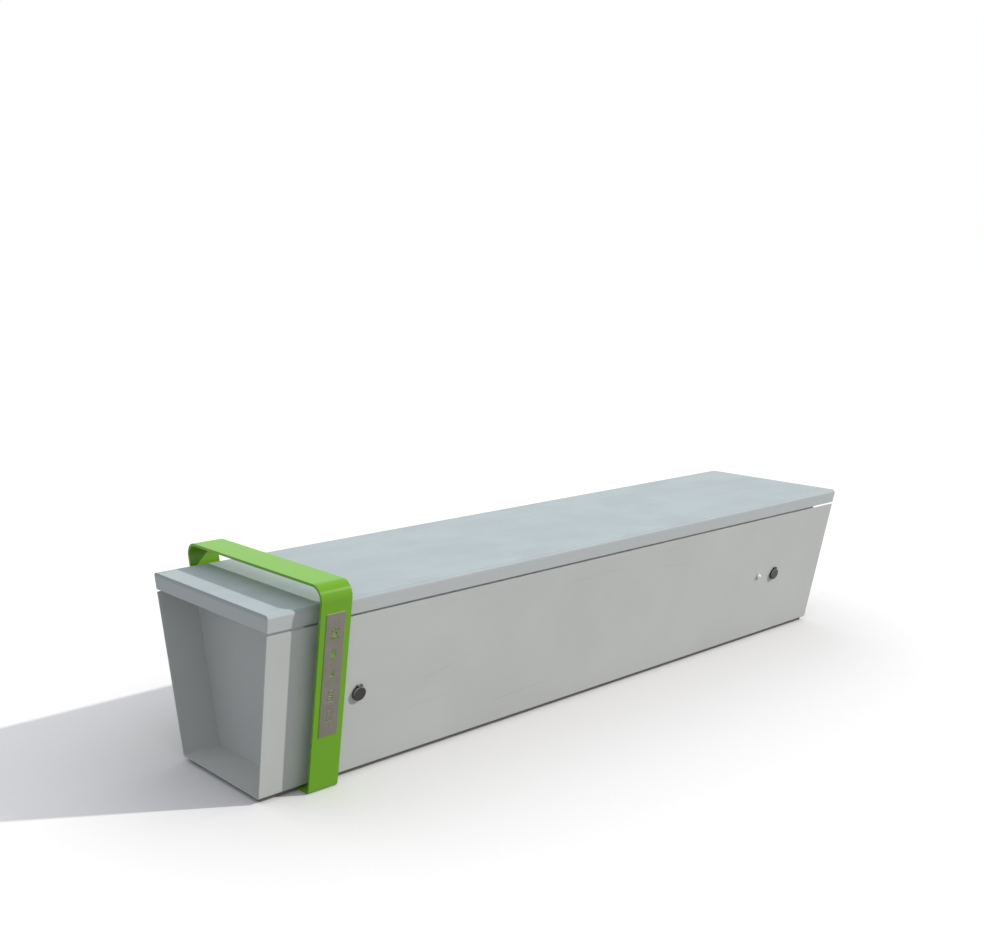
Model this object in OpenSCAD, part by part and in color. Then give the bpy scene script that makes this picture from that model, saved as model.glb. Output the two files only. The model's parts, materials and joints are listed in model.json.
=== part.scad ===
// Solar charging bench: a folded sheet shell with open end recesses on a low plinth, a light-passing
// seat over solar laminates, a steel hoop with a pictogram plate, two charging ports with flip
// covers and a domed wake button. Inside are the battery, the charge controller and the leads.
// +X runs along the bench, the ports face -Y, and the origin is on the ground at the middle.
// Lengths are in millimetres.

/* [Bench] */
// Length over both open ends
bench_length = 2106; // [2000:2:2400]
// Height of the seat top above the ground
seat_height = 450; // [430:5:500]
// Width of the shell across its floor
base_width = 333; // [320:1:380]
// Lean of the long walls from upright, in degrees
wall_lean = 10.2; // [8:0.2:12]

/* [Shell] */
// Thickness of the folded sheet
sheet = 3; // [2:0.5:3.5]
// Outer radius of the folds along the floor
fold_radius = 5; // [4.5:0.5:8]
// Height of the plinth under the shell
plinth_height = 11; // [9:1:16]
// How far the plinth stands in from the edge of the shell
plinth_inset = 10; // [6:1:20]
// Width of the flat bars of the plinth
plinth_bar = 40; // [34:1:50]
// Depth of the open recess at each end
recess_depth = 96; // [80:1:105]
// Width of the flange turned in along the top of each long wall
flange_width = 42; // [40:1:50]
// Depth of the flange folded back round each end panel
panel_flange = 25; // [18:1:28]
// Distance along the bench between the anchor holes
anchor_span = 1400; // [1300:10:1440]
// Radius of each anchor hole
anchor_hole_r = 7; // [5:0.5:8]
// Radius of each drain hole
drain_hole_r = 4; // [3:0.5:5]

/* [Seat] */
// Thickness of the seat slab
seat_thickness = 40; // [36:1:50]
// Open shadow gap between the shell and the seat
shadow_gap = 6; // [5.5:0.5:10]
// Radius of the rounded long edges of the seat
seat_edge_radius = 9; // [5:1:11]
// Wall of the light-passing cover
cover_wall = 5; // [4:0.5:6]
// Thickness of each solar laminate
laminate_thickness = 4; // [3:0.5:5]
// Free edge between the laminates and the cover wall
laminate_margin = 15; // [10:1:25]
// Gap between two laminates
laminate_gap = 10; // [6:1:20]
// Thickness of the pan that closes the seat from below
pan_thickness = 2; // [1.5:0.5:3]
// Width of each seat bearer
bearer_width = 60; // [50:1:70]
// Height of each seat bearer
bearer_height = 33; // [30:1:38]
// Distance of the gap seal from the edge of the shell
seal_inset = 8; // [7:1:20]
// Width of the gap seal
seal_width = 8; // [6:1:9]

/* [Hoop] */
// Width of the flat bar that the hoop is bent from
hoop_width = 79; // [70:1:84]
// Thickness of the flat bar
hoop_bar = 6; // [5:0.5:6.5]
// Distance from the near end of the bench to the hoop
hoop_from_end = 109; // [108:1:130]
// Clear gap between the long walls and the hoop
hoop_clear = 26; // [19:1:30]
// Rise of the hoop above the seat
hoop_rise = 50; // [38:1:90]
// Outer radius of the two top bends
hoop_top_radius = 32; // [26:1:45]
// Outer radius of the two bottom bends
hoop_foot_radius = 10; // [9:1:20]
// Radius of the bosses that hold the hoop off the walls
boss_r = 12; // [10:0.5:15]

/* [Pictogram plate] */
// Width of the plate
plate_width = 48; // [44:1:60]
// Length of the plate
plate_length = 298; // [285:1:310]
// Thickness of the plate
plate_thickness = 1.5; // [1:0.5:3]
// Distance of the middle of the plate below the seat top
plate_drop = 156; // [152:1:175]
// Size of each pictogram
picto_size = 30; // [24:1:34]
// Distance between two pictograms
picto_pitch = 50; // [48:1:52]

/* [Charging ports] */
// Distance of each port from its end of the bench
port_from_end = 251; // [235:1:285]
// Height of the ports above the ground
port_height = 210; // [190:1:230]
// Radius of the port flange
port_flange_r = 18; // [17.5:0.5:21]
// Thickness of the port flange
port_flange_t = 2.2; // [2:0.2:4]
// Radius of the port barrel that goes through the wall
port_barrel_r = 13.2; // [13:0.2:14]
// Wall of the port barrel round the well in front of the sockets
port_barrel_wall = 2.2; // [1.8:0.2:2.6]
// Radius of the flip cover
port_cover_r = 17.8; // [16.6:0.2:18]
// Thickness of the flip cover
port_cover_t = 3.8; // [3.6:0.2:5]
// Length of the port barrel behind the face of the wall
port_depth = 28; // [24:1:36]

/* [Wake button] */
// Distance from the far port to the button
button_offset = 81; // [60:1:100]
// Height of the button above the ground
button_height = 216; // [190:1:230]
// Radius of the domed cap
button_cap_r = 6; // [5:0.2:6.6]
// Width of the button flange round the cap
button_rim = 3.5; // [3:0.25:6]
// Straight height of the cap above its flange
button_proud = 1; // [0.5:0.5:3]
// Travel of the button
button_travel = 2; // [1:0.5:2]

/* [Service opening] */
// Length of the service panel in the rear wall
service_length = 420; // [360:10:460]
// Height of the service panel
service_height = 240; // [200:10:260]

/* [Power pack] */
// Length of the battery
battery_length = 330; // [300:5:340]
// Width of the battery
battery_width = 172; // [150:1:176]
// Height of the battery
battery_height = 214; // [180:1:225]
// Width of the charge controller
controller_width = 190; // [160:5:200]
// Height of the charge controller
controller_height = 130; // [110:5:140]
// Depth of the cooling fins
fin_depth = 20; // [14:1:26]
// Radius of the leads
lead_r = 4; // [3:0.5:4.5]

/* [Hidden] */
$fn = 64;

// One overrun serves every cut, and one clearance every seated pair
overrun = 1;
seat_fit = 0.2;
running_fit = 0.05;
bond_gap = 0.1;

// Arcs stand this much proud of their flats, so that the two meet in one clean edge
arc_lap = 0.003;

// Levels and half sizes of the shell
half_length = bench_length / 2;
bay_half = half_length - recess_depth;
shell_floor = plinth_height + sheet;
shell_top = seat_height - seat_thickness - shadow_gap;
fold_inner = fold_radius - sheet;
anchor_y = base_width / 2 - plinth_inset - plinth_bar / 2;
drain_shares = [-0.62, -0.2, 0.2, 0.62];

// Levels inside the seat
seat_bottom = seat_height - seat_thickness;
pan_top = seat_bottom + pan_thickness;
laminate_top = seat_height - cover_wall;
core_top = laminate_top - laminate_thickness;
cover_inner_r = seat_edge_radius / 2;
laminate_count = 3;
laminate_length = (bench_length - 2 * cover_wall - 2 * laminate_margin
    - (laminate_count - 1) * laminate_gap) / laminate_count;
laminate_pitch = laminate_length + laminate_gap;
junction_size = [90, 60, 18];

// Bearers, their pads and what holds them
bearer_shares = [-0.78, -0.26, 0.26, 0.78];
bearer_leg_gap = 3;
bearer_web_half = side_y(shell_top, 0) - seal_inset - seal_width - 5 * seat_fit;
bearer_leg_half = side_y(shell_top, 0) - flange_width - bearer_leg_gap;
pad_half = 170;
pad_width = 50;
seat_bolt_y = 120;
seat_bolt_r = 4;
bolt_clear_r = 4.5;
bolt_head_r = 7.5;
bolt_head_h = 5.3;
insert_r = 8;
insert_length = 20;
insert_floor = 3;
rivet_r = 2.4;
rivet_head_r = 4.8;
rivet_head_h = 1.2;
rivet_tail_r = 3.8;
rivet_tail_h = 2.5;
rivet_x = 15;
rivet_y = (side_y(shell_top, 0) - flange_width + bearer_web_half) / 2;

// Countersunk screws of the end panels and the service panel
csk_r = 2.5;
csk_head_r = 4.6;
csk_head_h = 2.1;
end_screw_y = 60;
end_screw_x = bay_half - panel_flange / 2;
end_screw_length = 10;

// Hoop
hoop_near_x = -half_length + hoop_from_end;
hoop_x = hoop_near_x + hoop_width / 2;
hoop_out = hoop_clear + hoop_bar;
hoop_height = seat_height + hoop_rise;
hoop_notch = 0.5;
hoop_boss_insets = [110, 55];
hoop_boss_heights = [plinth_height + hoop_boss_insets[0], shell_top - hoop_boss_insets[1]];
plate_height = seat_height - plate_drop;
hoop_bolt_length = 14;
boss_floor = 3;

// Ports, measured out from the face of the wall
port_x = half_length - port_from_end;
port_well_r = port_barrel_r - port_barrel_wall;
port_gasket_t = 0.8;
port_top = port_gasket_t + port_flange_t;
port_chamfer = 0.8;
port_nut_r = 19;
port_nut_t = 6;
cover_gap = 0.3;
cover_lip_gap = 1;
cover_chamfer = 1.6;
cover_skin = 1.8;
cover_lip_r = port_well_r - cover_lip_gap;
cover_lip_wall = 1.4;
cover_lip_reach = 2;
knuckle_r = 1.9;
knuckle_half = 4;
ear_gap = 0.3;
ear_width = 2.5;
ear_root = 5;
pin_r = 0.8;
hinge_y = port_cover_r + knuckle_r;
hinge_z = port_top + cover_gap + knuckle_r;
pin_half = knuckle_half + ear_gap + ear_width;
socket_face = -2;
socket_fit = 0.15;
socket_tail = 6;
socket_block = [14, 10, 8];
usb_a = [12.5, 5, 12];
usb_c = [9, 3.2, 10];
usb_a_y = 3.4;
usb_c_y = -4.6;
usb_tongue = [9.6, 1.6, 9];

// Button, measured out from the face of the wall
button_x = port_x - button_offset;
button_gasket_t = 0.6;
button_flange_t = 1.2;
button_top = button_gasket_t + button_flange_t;
button_flange_r = button_cap_r + button_rim;
button_barrel_wall = 2.4;
button_barrel_r = button_cap_r + button_barrel_wall;
button_barrel_depth = 22;
button_collar_step = 1;
button_collar_r = button_cap_r + button_collar_step;
button_collar_bore = button_collar_r + seat_fit;
button_collar_top = -4;
button_stem_end = -8;
button_nut_r = 12;
button_nut_t = 5;
switch_r = button_barrel_r - 2 * seat_fit;
switch_length = 14;
switch_tab = [2, 5, 8];

// Service opening, on the rear wall
service_z = (shell_floor + shell_top) / 2;
service_corner = 8;
service_gap = 1.5;
service_land = 20;
service_gasket_t = 2;
service_frame_t = 8;
service_screw_inset = 10;
service_screw_length = 12;

// Battery and its tray
battery_x = -190;
battery_corner = 6;
battery_lid = 18;
battery_lid_step = 2;
tray_sheet = 2;
tray_side = 30;
tray_fit = 1;
ear_reach = 24;
ear_span = 30;
rod_r = 3;
rod_out = 13;
clamp_width = 30;
clamp_bar = 3;
clamp_nut_r = 6;
clamp_nut_h = 5;
terminal_r = 7;
terminal_h = 14;
terminal_inset = [35, 31];
battery_base = shell_floor + tray_sheet;
battery_top = battery_base + battery_height;

// Equipment plate with the controller and the fuse box
plate_x0 = 60;
plate_x1 = 410;
plate_y = -60;
plate_sheet = 2.5;
plate_top = 250;
plate_foot = 50;
plate_lip = 15;
controller_x = 175;
controller_z = 155;
heatsink_base = 6;
fin_count = 13;
fin_thickness = 2.4;
case_depth = 40;
case_corner = 6;
fuse_x = 340;
fuse_z = 155;
fuse_size = [90, 45, 90];
fuse_lid_step = 2;
floor_screw_r = 3;
floor_screw_head_r = 5.5;
floor_screw_head_h = 3.5;
floor_screw_reach = 4;
floor_screw_inset = 15;

// Leads
trunk_y = 70;
trunk_z = shell_top + sheet - bearer_height / 2;
run_side_gap = 7;
run_y = -(battery_width / 2 + tray_fit + tray_sheet + run_side_gap + lead_r);
run_z = shell_floor + lead_r + seat_fit;
lead_rise = 32;
over_z = battery_top + terminal_h + lead_rise;
near_run_x = 430;
far_run_x = 455;
near_entry = [-37, 165];
far_entry = [-22, 140];
lead_entry_x = 22;
clip_width = 14;
clip_wall = 3;
clip_foot = 14;
clip_near_shares = [-0.75, -0.5, -0.02, 0.3];
clip_far_shares = [0.5, 0.62];

// Pictograms, as shares of their size
sun_disc_share = 0.2;
sun_ray_shares = [0.3, 0.5];
sun_ray_width_share = 0.09;
sun_ray_count = 8;
bolt_shares = [[0.12, 0.5], [-0.24, -0.06], [-0.02, -0.06], [-0.12, -0.5], [0.24, 0.08], [0.02, 0.08]];
plug_body_share = 0.2;
plug_prong_shares = [0.1, 0.08, 0.26];
plug_cord_shares = [0.08, 0.34];
cell_shares = [0.26, 0.5, 0.07];
cell_bar_shares = [-0.2, 0, 0.2];
cell_bar_size_shares = [0.28, 0.11];
phone_shares = [0.26, 0.5, 0.07];
bridge_share = 0.12;

// Half width of the shell at a height, and the same face moved out square to the wall
function half_width(z) = base_width / 2 + (z - plinth_height) * tan(wall_lean);
function side_y(z, out) = half_width(z) + out / cos(wall_lean);
function trapezoid(z0, z1, out) = [[-side_y(z0, out), z0], [side_y(z0, out), z0],
    [side_y(z1, out), z1], [-side_y(z1, out), z1]];
function rectangle(w, h) = [[-w / 2, -h / 2], [w / 2, -h / 2], [w / 2, h / 2], [-w / 2, h / 2]];

// Where a line square to the front wall at height z ends, depth behind the wall's face
function behind(x, z, depth) = [x, -half_width(z) + depth * cos(wall_lean), z + depth * sin(wall_lean)];

function bearer_x(i) = bearer_shares[i] * bay_half;
function laminate_x(i) = (i - (laminate_count - 1) / 2) * laminate_pitch;

// Unit vectors from a corner to its neighbours, and half of the angle between them
function toward(a, b) = (b - a) / norm(b - a);
function half_angle(p, i) = let(n = len(p), u = toward(p[i], p[(i + n - 1) % n]), v = toward(p[i], p[(i + 1) % n]))
    acos(u * v) / 2;
function corner_points(p, i, r) = let(n = len(p), u = toward(p[i], p[(i + n - 1) % n]),
    v = toward(p[i], p[(i + 1) % n]), d = r / tan(half_angle(p, i))) r > 0 ? [p[i] + u * d, p[i] + v * d] : [p[i]];
function corner_centre(p, i, r) = let(n = len(p), u = toward(p[i], p[(i + n - 1) % n]),
    v = toward(p[i], p[(i + 1) % n])) p[i] + (u + v) / norm(u + v) * r / sin(half_angle(p, i));

// A convex outline with its own radius at each corner, as true arcs
module round_outline(p, r) {
    polygon([for (i = [0:len(p) - 1]) each corner_points(p, i, r[i])]);
    for (i = [0:len(p) - 1]) if (r[i] > 0) translate(corner_centre(p, i, r[i])) circle(r = r[i] + arc_lap);
}

module round_rectangle(w, h, r) round_outline(rectangle(w, h), [r, r, r, r]);

// A cross-section drawn in Y and Z, run from x0 to x1
module along(x0, x1) translate([x0, 0, 0]) rotate([90, 0, 90]) linear_extrude(x1 - x0) children();

// The frame of the front wall at (x, z), with its own Z square out of the wall, and of the rear wall
module on_front(x, z) translate([x, -half_width(z), z]) rotate([90 + wall_lean, 0, 0]) children();
module on_rear(x, z) mirror([0, 1, 0]) on_front(x, z) children();
module on_both(x, z) {
    on_front(x, z) children();
    on_rear(x, z) children();
}

module level_cylinder(r, z0, z1) translate([0, 0, z0]) cylinder(r = r, h = z1 - z0);
module box_between(a, b) translate(a) cube(b - a);
module bar_along_x(r, half) rotate([0, 90, 0]) cylinder(r = r, h = 2 * half, center = true);

// A countersunk screw whose head is flush with Z = 0, and the hole that takes it
module countersunk_screw(length) {
    level_cylinder(csk_r, -length, -csk_head_h / 2);
    translate([0, 0, -csk_head_h]) cylinder(r1 = csk_r, r2 = csk_head_r, h = csk_head_h);
}
module countersunk_hole(length) {
    level_cylinder(csk_r + running_fit, -length, overrun);
    translate([0, 0, -csk_head_h]) cylinder(r1 = csk_r + running_fit, r2 = csk_head_r + running_fit, h = csk_head_h);
}

module hex_bolt(head_z, tip_z) {
    level_cylinder(seat_bolt_r, head_z, tip_z);
    translate([0, 0, head_z - bolt_head_h]) cylinder(r = bolt_head_r, h = bolt_head_h, $fn = 6);
}

// A lead along straight runs, with a ball at each turn that is a hair thicker than the run
module lead(points, r) {
    for (i = [0:len(points) - 2]) {
        step = points[i + 1] - points[i];
        translate(points[i]) rotate([0, acos(step[2] / norm(step)), atan2(step[1], step[0])])
            cylinder(r = r, h = norm(step));
    }
    for (i = [1:1:len(points) - 2]) translate(points[i]) sphere(r = r + bond_gap);
}

// Shell, end panels and plinth

module anchor_places() for (sx = [-1, 1], sy = [-1, 1]) translate([sx * anchor_span / 2, sy * anchor_y, 0]) children();

module end_screw_places() for (sx = [-1, 1], sy = [-1, 1])
    translate([sx * end_screw_x, sy * end_screw_y, plinth_height]) mirror([0, 0, 1]) children();

module rivet_places() for (i = [0:3], sx = [-1, 1], sy = [-1, 1])
    translate([bearer_x(i) + sx * rivet_x, sy * rivet_y, shell_top])
        children();

module hoop_bolt_places() for (z = hoop_boss_heights) on_both(hoop_x, z) children();

module wall_flange() polygon([[side_y(shell_top, 0), shell_top], [side_y(shell_top, 0) - flange_width, shell_top],
    [side_y(shell_top, 0) - flange_width, shell_top - sheet], [side_y(shell_top - sheet, 0), shell_top - sheet]]);

module shell() {
    flange_half = bay_half - sheet - seat_fit;
    color("gainsboro") difference() {
        union() {
            along(-half_length, half_length) difference() {
                round_outline(trapezoid(plinth_height, shell_top, 0), [fold_radius, fold_radius, 0, 0]);
                round_outline(trapezoid(shell_floor, shell_top + overrun, -sheet), [fold_inner, fold_inner, 0, 0]);
            }
            along(-flange_half, flange_half) {
                wall_flange();
                mirror([1, 0]) wall_flange();
            }
        }
        anchor_places() level_cylinder(anchor_hole_r, plinth_height - overrun, shell_floor + overrun);
        for (share = drain_shares) translate([share * half_length, 0, 0])
            level_cylinder(drain_hole_r, plinth_height - overrun, shell_floor + overrun);
        end_screw_places() countersunk_hole(sheet + overrun);
        floor_screw_places() level_cylinder(floor_screw_r + running_fit, plinth_height - overrun, shell_floor + overrun);
        rivet_places() level_cylinder(rivet_r + running_fit, -sheet - overrun, overrun);
        hoop_bolt_places() level_cylinder(bolt_clear_r, -sheet - overrun, overrun);
        for (sx = [-1, 1]) on_front(sx * port_x, port_height)
            level_cylinder(port_barrel_r + seat_fit, -sheet - overrun, overrun);
        on_front(button_x, button_height) level_cylinder(button_barrel_r + seat_fit, -sheet - overrun, overrun);
        on_rear(0, service_z) translate([0, 0, -sheet - overrun]) linear_extrude(sheet + 2 * overrun)
            round_rectangle(service_length, service_height, service_corner);
    }
}

// The near panel: a tray whose flanges fold back into the bench
module end_panel() {
    notch_y = side_y(shell_top, 0) - flange_width - seat_fit;
    foot_z = shell_floor + seat_fit;
    color("silver") difference() {
        along(-bay_half, panel_flange - bay_half)
            round_outline(trapezoid(foot_z, shell_top, -sheet - seat_fit), [fold_inner, fold_inner, 0, 0]);
        along(sheet - bay_half, panel_flange + overrun - bay_half)
            polygon(trapezoid(foot_z + sheet, shell_top - sheet, -2 * sheet - seat_fit));
        for (side = [0, 1]) mirror([0, side, 0]) box_between(
            [sheet - bay_half, notch_y, shell_top - sheet - seat_fit],
            [panel_flange + overrun - bay_half, half_width(shell_top), shell_top + overrun]);
        end_screw_places() level_cylinder(csk_r + running_fit, -2 * sheet - overrun, overrun);
    }
}

module end_panel_screws() color("lightgray") end_screw_places() countersunk_screw(end_screw_length);

module hoop_clearance() box_between([hoop_near_x - hoop_notch, -base_width, -overrun],
    [hoop_near_x + hoop_width + hoop_notch, base_width, hoop_bar + hoop_notch]);

module plinth_side(side) {
    outer = base_width / 2 - plinth_inset;
    color("dimgray") difference() {
        mirror([0, (1 - side) / 2, 0]) box_between([plinth_inset - half_length, outer - plinth_bar, 0],
            [half_length - plinth_inset, outer, plinth_height]);
        anchor_places() level_cylinder(anchor_hole_r, -overrun, plinth_height + overrun);
        hoop_clearance();
    }
}

module plinth_ends() {
    inner = base_width / 2 - plinth_inset - plinth_bar;
    end_x = half_length - plinth_inset;
    color("dimgray") for (side = [0, 1]) mirror([side, 0, 0])
        box_between([end_x - plinth_bar, -inner, 0], [end_x, inner, plinth_height]);
}

// Seat and what carries it

module gap_seal() color("darkslategray") difference() {
    outer = side_y(shell_top, 0) - seal_inset;
    box_between([-bay_half, -outer, shell_top], [bay_half, outer, seat_bottom]);
    box_between([seal_width - bay_half, seal_width - outer, shell_top - overrun],
        [bay_half - seal_width, outer - seal_width, seat_bottom + overrun]);
}

module seat_bolt_places(i) for (side = [-1, 1]) translate([bearer_x(i), side * seat_bolt_y, 0]) children();

module seat_bearer(i) color("slategray") difference() {
    translate([bearer_x(i), 0, shell_top]) {
        box_between([-bearer_width / 2, -bearer_web_half, 0], [bearer_width / 2, bearer_web_half, sheet]);
        for (side = [0, 1]) mirror([side, 0, 0]) box_between([bearer_width / 2 - sheet, -bearer_leg_half,
            sheet - bearer_height], [bearer_width / 2, bearer_leg_half, sheet]);
    }
    seat_bolt_places(i) level_cylinder(bolt_clear_r, shell_top - overrun, shell_top + sheet + overrun);
    rivet_places() level_cylinder(rivet_r + running_fit, -overrun, sheet + overrun);
    translate([bearer_x(i), trunk_y, trunk_z]) bar_along_x(lead_r + 2 * seat_fit, bearer_width);
}

module bearing_pads() color("darkslategray") for (i = [0:3]) difference() {
    translate([bearer_x(i), 0, 0]) box_between([-pad_width / 2, -pad_half, shell_top + sheet],
        [pad_width / 2, pad_half, seat_bottom]);
    seat_bolt_places(i) level_cylinder(bolt_clear_r, shell_top, seat_bottom + overrun);
}

module bearer_rivets() color("lightgray") rivet_places() {
    level_cylinder(rivet_r, -sheet - rivet_tail_h, sheet + rivet_head_h);
    level_cylinder(rivet_head_r, sheet, sheet + rivet_head_h);
    level_cylinder(rivet_tail_r, -sheet - rivet_tail_h, -sheet);
}

module seat_bolts() color("lightgray") for (i = [0:3]) seat_bolt_places(i)
    hex_bolt(shell_top, pan_top + insert_length - insert_floor - overrun);

module seat_inserts() color("goldenrod") for (i = [0:3]) seat_bolt_places(i) difference() {
    level_cylinder(insert_r, pan_top, pan_top + insert_length);
    level_cylinder(seat_bolt_r + running_fit, pan_top - overrun, pan_top + insert_length - insert_floor);
}

module seat_layer(z0, z1) along(cover_wall + seat_fit - half_length, half_length - cover_wall - seat_fit)
    polygon(trapezoid(z0, z1, -cover_wall - seat_fit));

module riser_places() for (i = [0:laminate_count - 1]) translate([laminate_x(i), trunk_y, 0]) children();

module seat_pan() color("silver") difference() {
    seat_layer(seat_bottom, pan_top);
    for (i = [0:3]) seat_bolt_places(i) level_cylinder(bolt_clear_r, seat_bottom - overrun, pan_top + overrun);
    riser_places() level_cylinder(lead_r + 2 * seat_fit, seat_bottom - overrun, pan_top + overrun);
}

module seat_core() color("burlywood") difference() {
    seat_layer(pan_top, core_top);
    for (i = [0:3]) seat_bolt_places(i) level_cylinder(insert_r + seat_fit, pan_top - overrun, pan_top + insert_length + seat_fit);
    riser_places() {
        translate([0, 0, core_top - junction_size[2] - seat_fit]) linear_extrude(junction_size[2] + seat_fit + overrun)
            square([junction_size[0] + 2 * seat_fit, junction_size[1] + 2 * seat_fit], center = true);
        level_cylinder(lead_r + 2 * seat_fit, pan_top - overrun, core_top);
    }
}

module solar_laminate(i) {
    half = side_y(core_top, -cover_wall) - laminate_margin;
    color("midnightblue") translate([laminate_x(i), 0, 0])
        box_between([-laminate_length / 2, -half, core_top], [laminate_length / 2, half, laminate_top]);
}

module junction_boxes() color("black") riser_places() translate([0, 0, core_top - junction_size[2]])
    linear_extrude(junction_size[2]) square([junction_size[0], junction_size[1]], center = true);

module seat_cover() color("lightsteelblue") difference() {
    along(-half_length, half_length)
        round_outline(trapezoid(seat_bottom, seat_height, 0), [0, 0, seat_edge_radius, seat_edge_radius]);
    along(cover_wall - half_length, half_length - cover_wall)
        round_outline(trapezoid(seat_bottom - overrun, laminate_top, -cover_wall), [0, 0, cover_inner_r, cover_inner_r]);
}

// Hoop and its plate

module hoop() {
    foot_r = hoop_foot_radius;
    top_r = hoop_top_radius;
    inner_foot_r = foot_r - hoop_bar;
    inner_top_r = top_r - hoop_bar;
    color("yellowgreen") difference() {
        union() {
            along(hoop_near_x, hoop_near_x + hoop_width) difference() {
                round_outline(trapezoid(0, hoop_height, hoop_out), [foot_r, foot_r, top_r, top_r]);
                round_outline(trapezoid(hoop_bar, hoop_height - hoop_bar, hoop_clear),
                    [inner_foot_r, inner_foot_r, inner_top_r, inner_top_r]);
            }
            hoop_bolt_places() level_cylinder(boss_r, seat_fit, hoop_clear + hoop_bar / 2);
        }
        hoop_bolt_places() level_cylinder(seat_bolt_r + running_fit, -overrun, hoop_clear - boss_floor);
    }
}

module hoop_bolts() color("lightgray") hoop_bolt_places() hex_bolt(-sheet - running_fit, hoop_bolt_length);

module picto_sun(s) {
    circle(r = s * sun_disc_share);
    for (i = [0:sun_ray_count - 1]) rotate(i * 360 / sun_ray_count)
        translate([s * (sun_ray_shares[0] + sun_ray_shares[1]) / 2, 0])
            square([s * (sun_ray_shares[1] - sun_ray_shares[0]), s * sun_ray_width_share], center = true);
}

module picto_plug(s) {
    body = s * plug_body_share;
    prong = s * plug_prong_shares;
    cord = s * plug_cord_shares;
    circle(r = body);
    translate([0, body / 2]) square([2 * body, body], center = true);
    for (side = [-1, 1]) translate([side * prong[0], body + prong[2] / 2]) square([prong[1], prong[2]], center = true);
    translate([0, -body - cord[1] / 2 + cord[0] / 2]) square([cord[0], cord[1]], center = true);
}

module picto_bolt(s) polygon(s * bolt_shares);

// A frame cut through at the middle of its long sides, so that what it encloses stays on the plate
module broken_frame(s, shares) {
    half = s * shares[0];
    tall = s * shares[1];
    line = s * shares[2];
    difference() {
        square([2 * half, 2 * tall], center = true);
        square([2 * (half - line), 2 * (tall - line)], center = true);
        square([2 * half + line, s * bridge_share], center = true);
    }
}

module picto_battery(s) {
    broken_frame(s, cell_shares);
    for (share = cell_bar_shares) translate([0, s * share])
        square([s * cell_bar_size_shares[0], s * cell_bar_size_shares[1]], center = true);
}

module picto_phone(s) {
    broken_frame(s, phone_shares);
    translate([0, -s * phone_shares[0]]) circle(r = s * phone_shares[2]);
}

module pictogram_plate() color("gray") on_front(hoop_x, plate_height)
    translate([0, 0, hoop_out + bond_gap]) difference() {
        linear_extrude(plate_thickness) square([plate_width, plate_length], center = true);
        translate([0, 0, -overrun]) linear_extrude(plate_thickness + 2 * overrun) {
            translate([0, 2 * picto_pitch]) picto_sun(picto_size);
            translate([0, picto_pitch]) picto_plug(picto_size);
            picto_bolt(picto_size);
            translate([0, -picto_pitch]) picto_battery(picto_size);
            translate([0, -2 * picto_pitch]) picto_phone(picto_size);
        }
    }

// Service opening in the rear wall

module service_screw_places() for (sx = [-1:1], sy = [-1:1]) if (sx != 0 || sy != 0)
    on_rear(sx * (service_length / 2 - service_gap - service_screw_inset), service_z)
        translate([0, sy * (service_height / 2 - service_gap - service_screw_inset), 0]) children();

module service_ring(z0, z1, grow, land) translate([0, 0, z0]) linear_extrude(z1 - z0) difference() {
    round_rectangle(service_length + 2 * grow, service_height + 2 * grow, service_corner + grow);
    round_rectangle(service_length - 2 * land, service_height - 2 * land, service_corner);
}

module service_frame() color("silver") difference() {
    on_rear(0, service_z) difference() {
        service_ring(-sheet - service_frame_t, -sheet - seat_fit, service_land, service_land);
        translate([0, 0, -sheet - service_gasket_t]) linear_extrude(service_gasket_t + overrun)
            round_rectangle(service_length, service_height, service_corner);
    }
    service_screw_places() level_cylinder(csk_r + running_fit, -sheet - service_frame_t - overrun, 0);
}

module service_gasket() color("darkslategray") difference() {
    on_rear(0, service_z) service_ring(-sheet - service_gasket_t, -sheet, -service_gap, service_land);
    service_screw_places() level_cylinder(csk_r + running_fit, -sheet - service_gasket_t - overrun, 0);
}

module service_panel() color("gainsboro") difference() {
    on_rear(0, service_z) translate([0, 0, -sheet]) linear_extrude(sheet) round_rectangle(
        service_length - 2 * service_gap, service_height - 2 * service_gap, service_corner - service_gap);
    service_screw_places() countersunk_hole(sheet + overrun);
}

module service_screws() color("lightgray") service_screw_places() countersunk_screw(service_screw_length);

// Charging ports

module both_ports() for (sx = [-1, 1]) on_front(sx * port_x, port_height) children();

module hinge_ear() union() {
    translate([knuckle_half + ear_gap, 0, 0]) {
        box_between([0, hinge_y - knuckle_r, port_gasket_t], [ear_width, hinge_y + knuckle_r, hinge_z]);
        box_between([0, port_flange_r - ear_root, port_gasket_t], [ear_width, hinge_y, port_top]);
        translate([ear_width / 2, hinge_y, hinge_z]) bar_along_x(knuckle_r, ear_width / 2);
    }
}

module port_bezel() color("dimgray") difference() {
    union() {
        rotate_extrude() polygon([[port_well_r, -port_depth], [port_barrel_r, -port_depth],
            [port_barrel_r, port_gasket_t], [port_flange_r, port_gasket_t],
            [port_flange_r, port_top - port_chamfer], [port_flange_r - port_chamfer, port_top],
            [port_well_r, port_top]]);
        hinge_ear();
        mirror([1, 0, 0]) hinge_ear();
    }
    translate([0, hinge_y, hinge_z]) bar_along_x(pin_r + running_fit / 2, pin_half + overrun);
}

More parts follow.
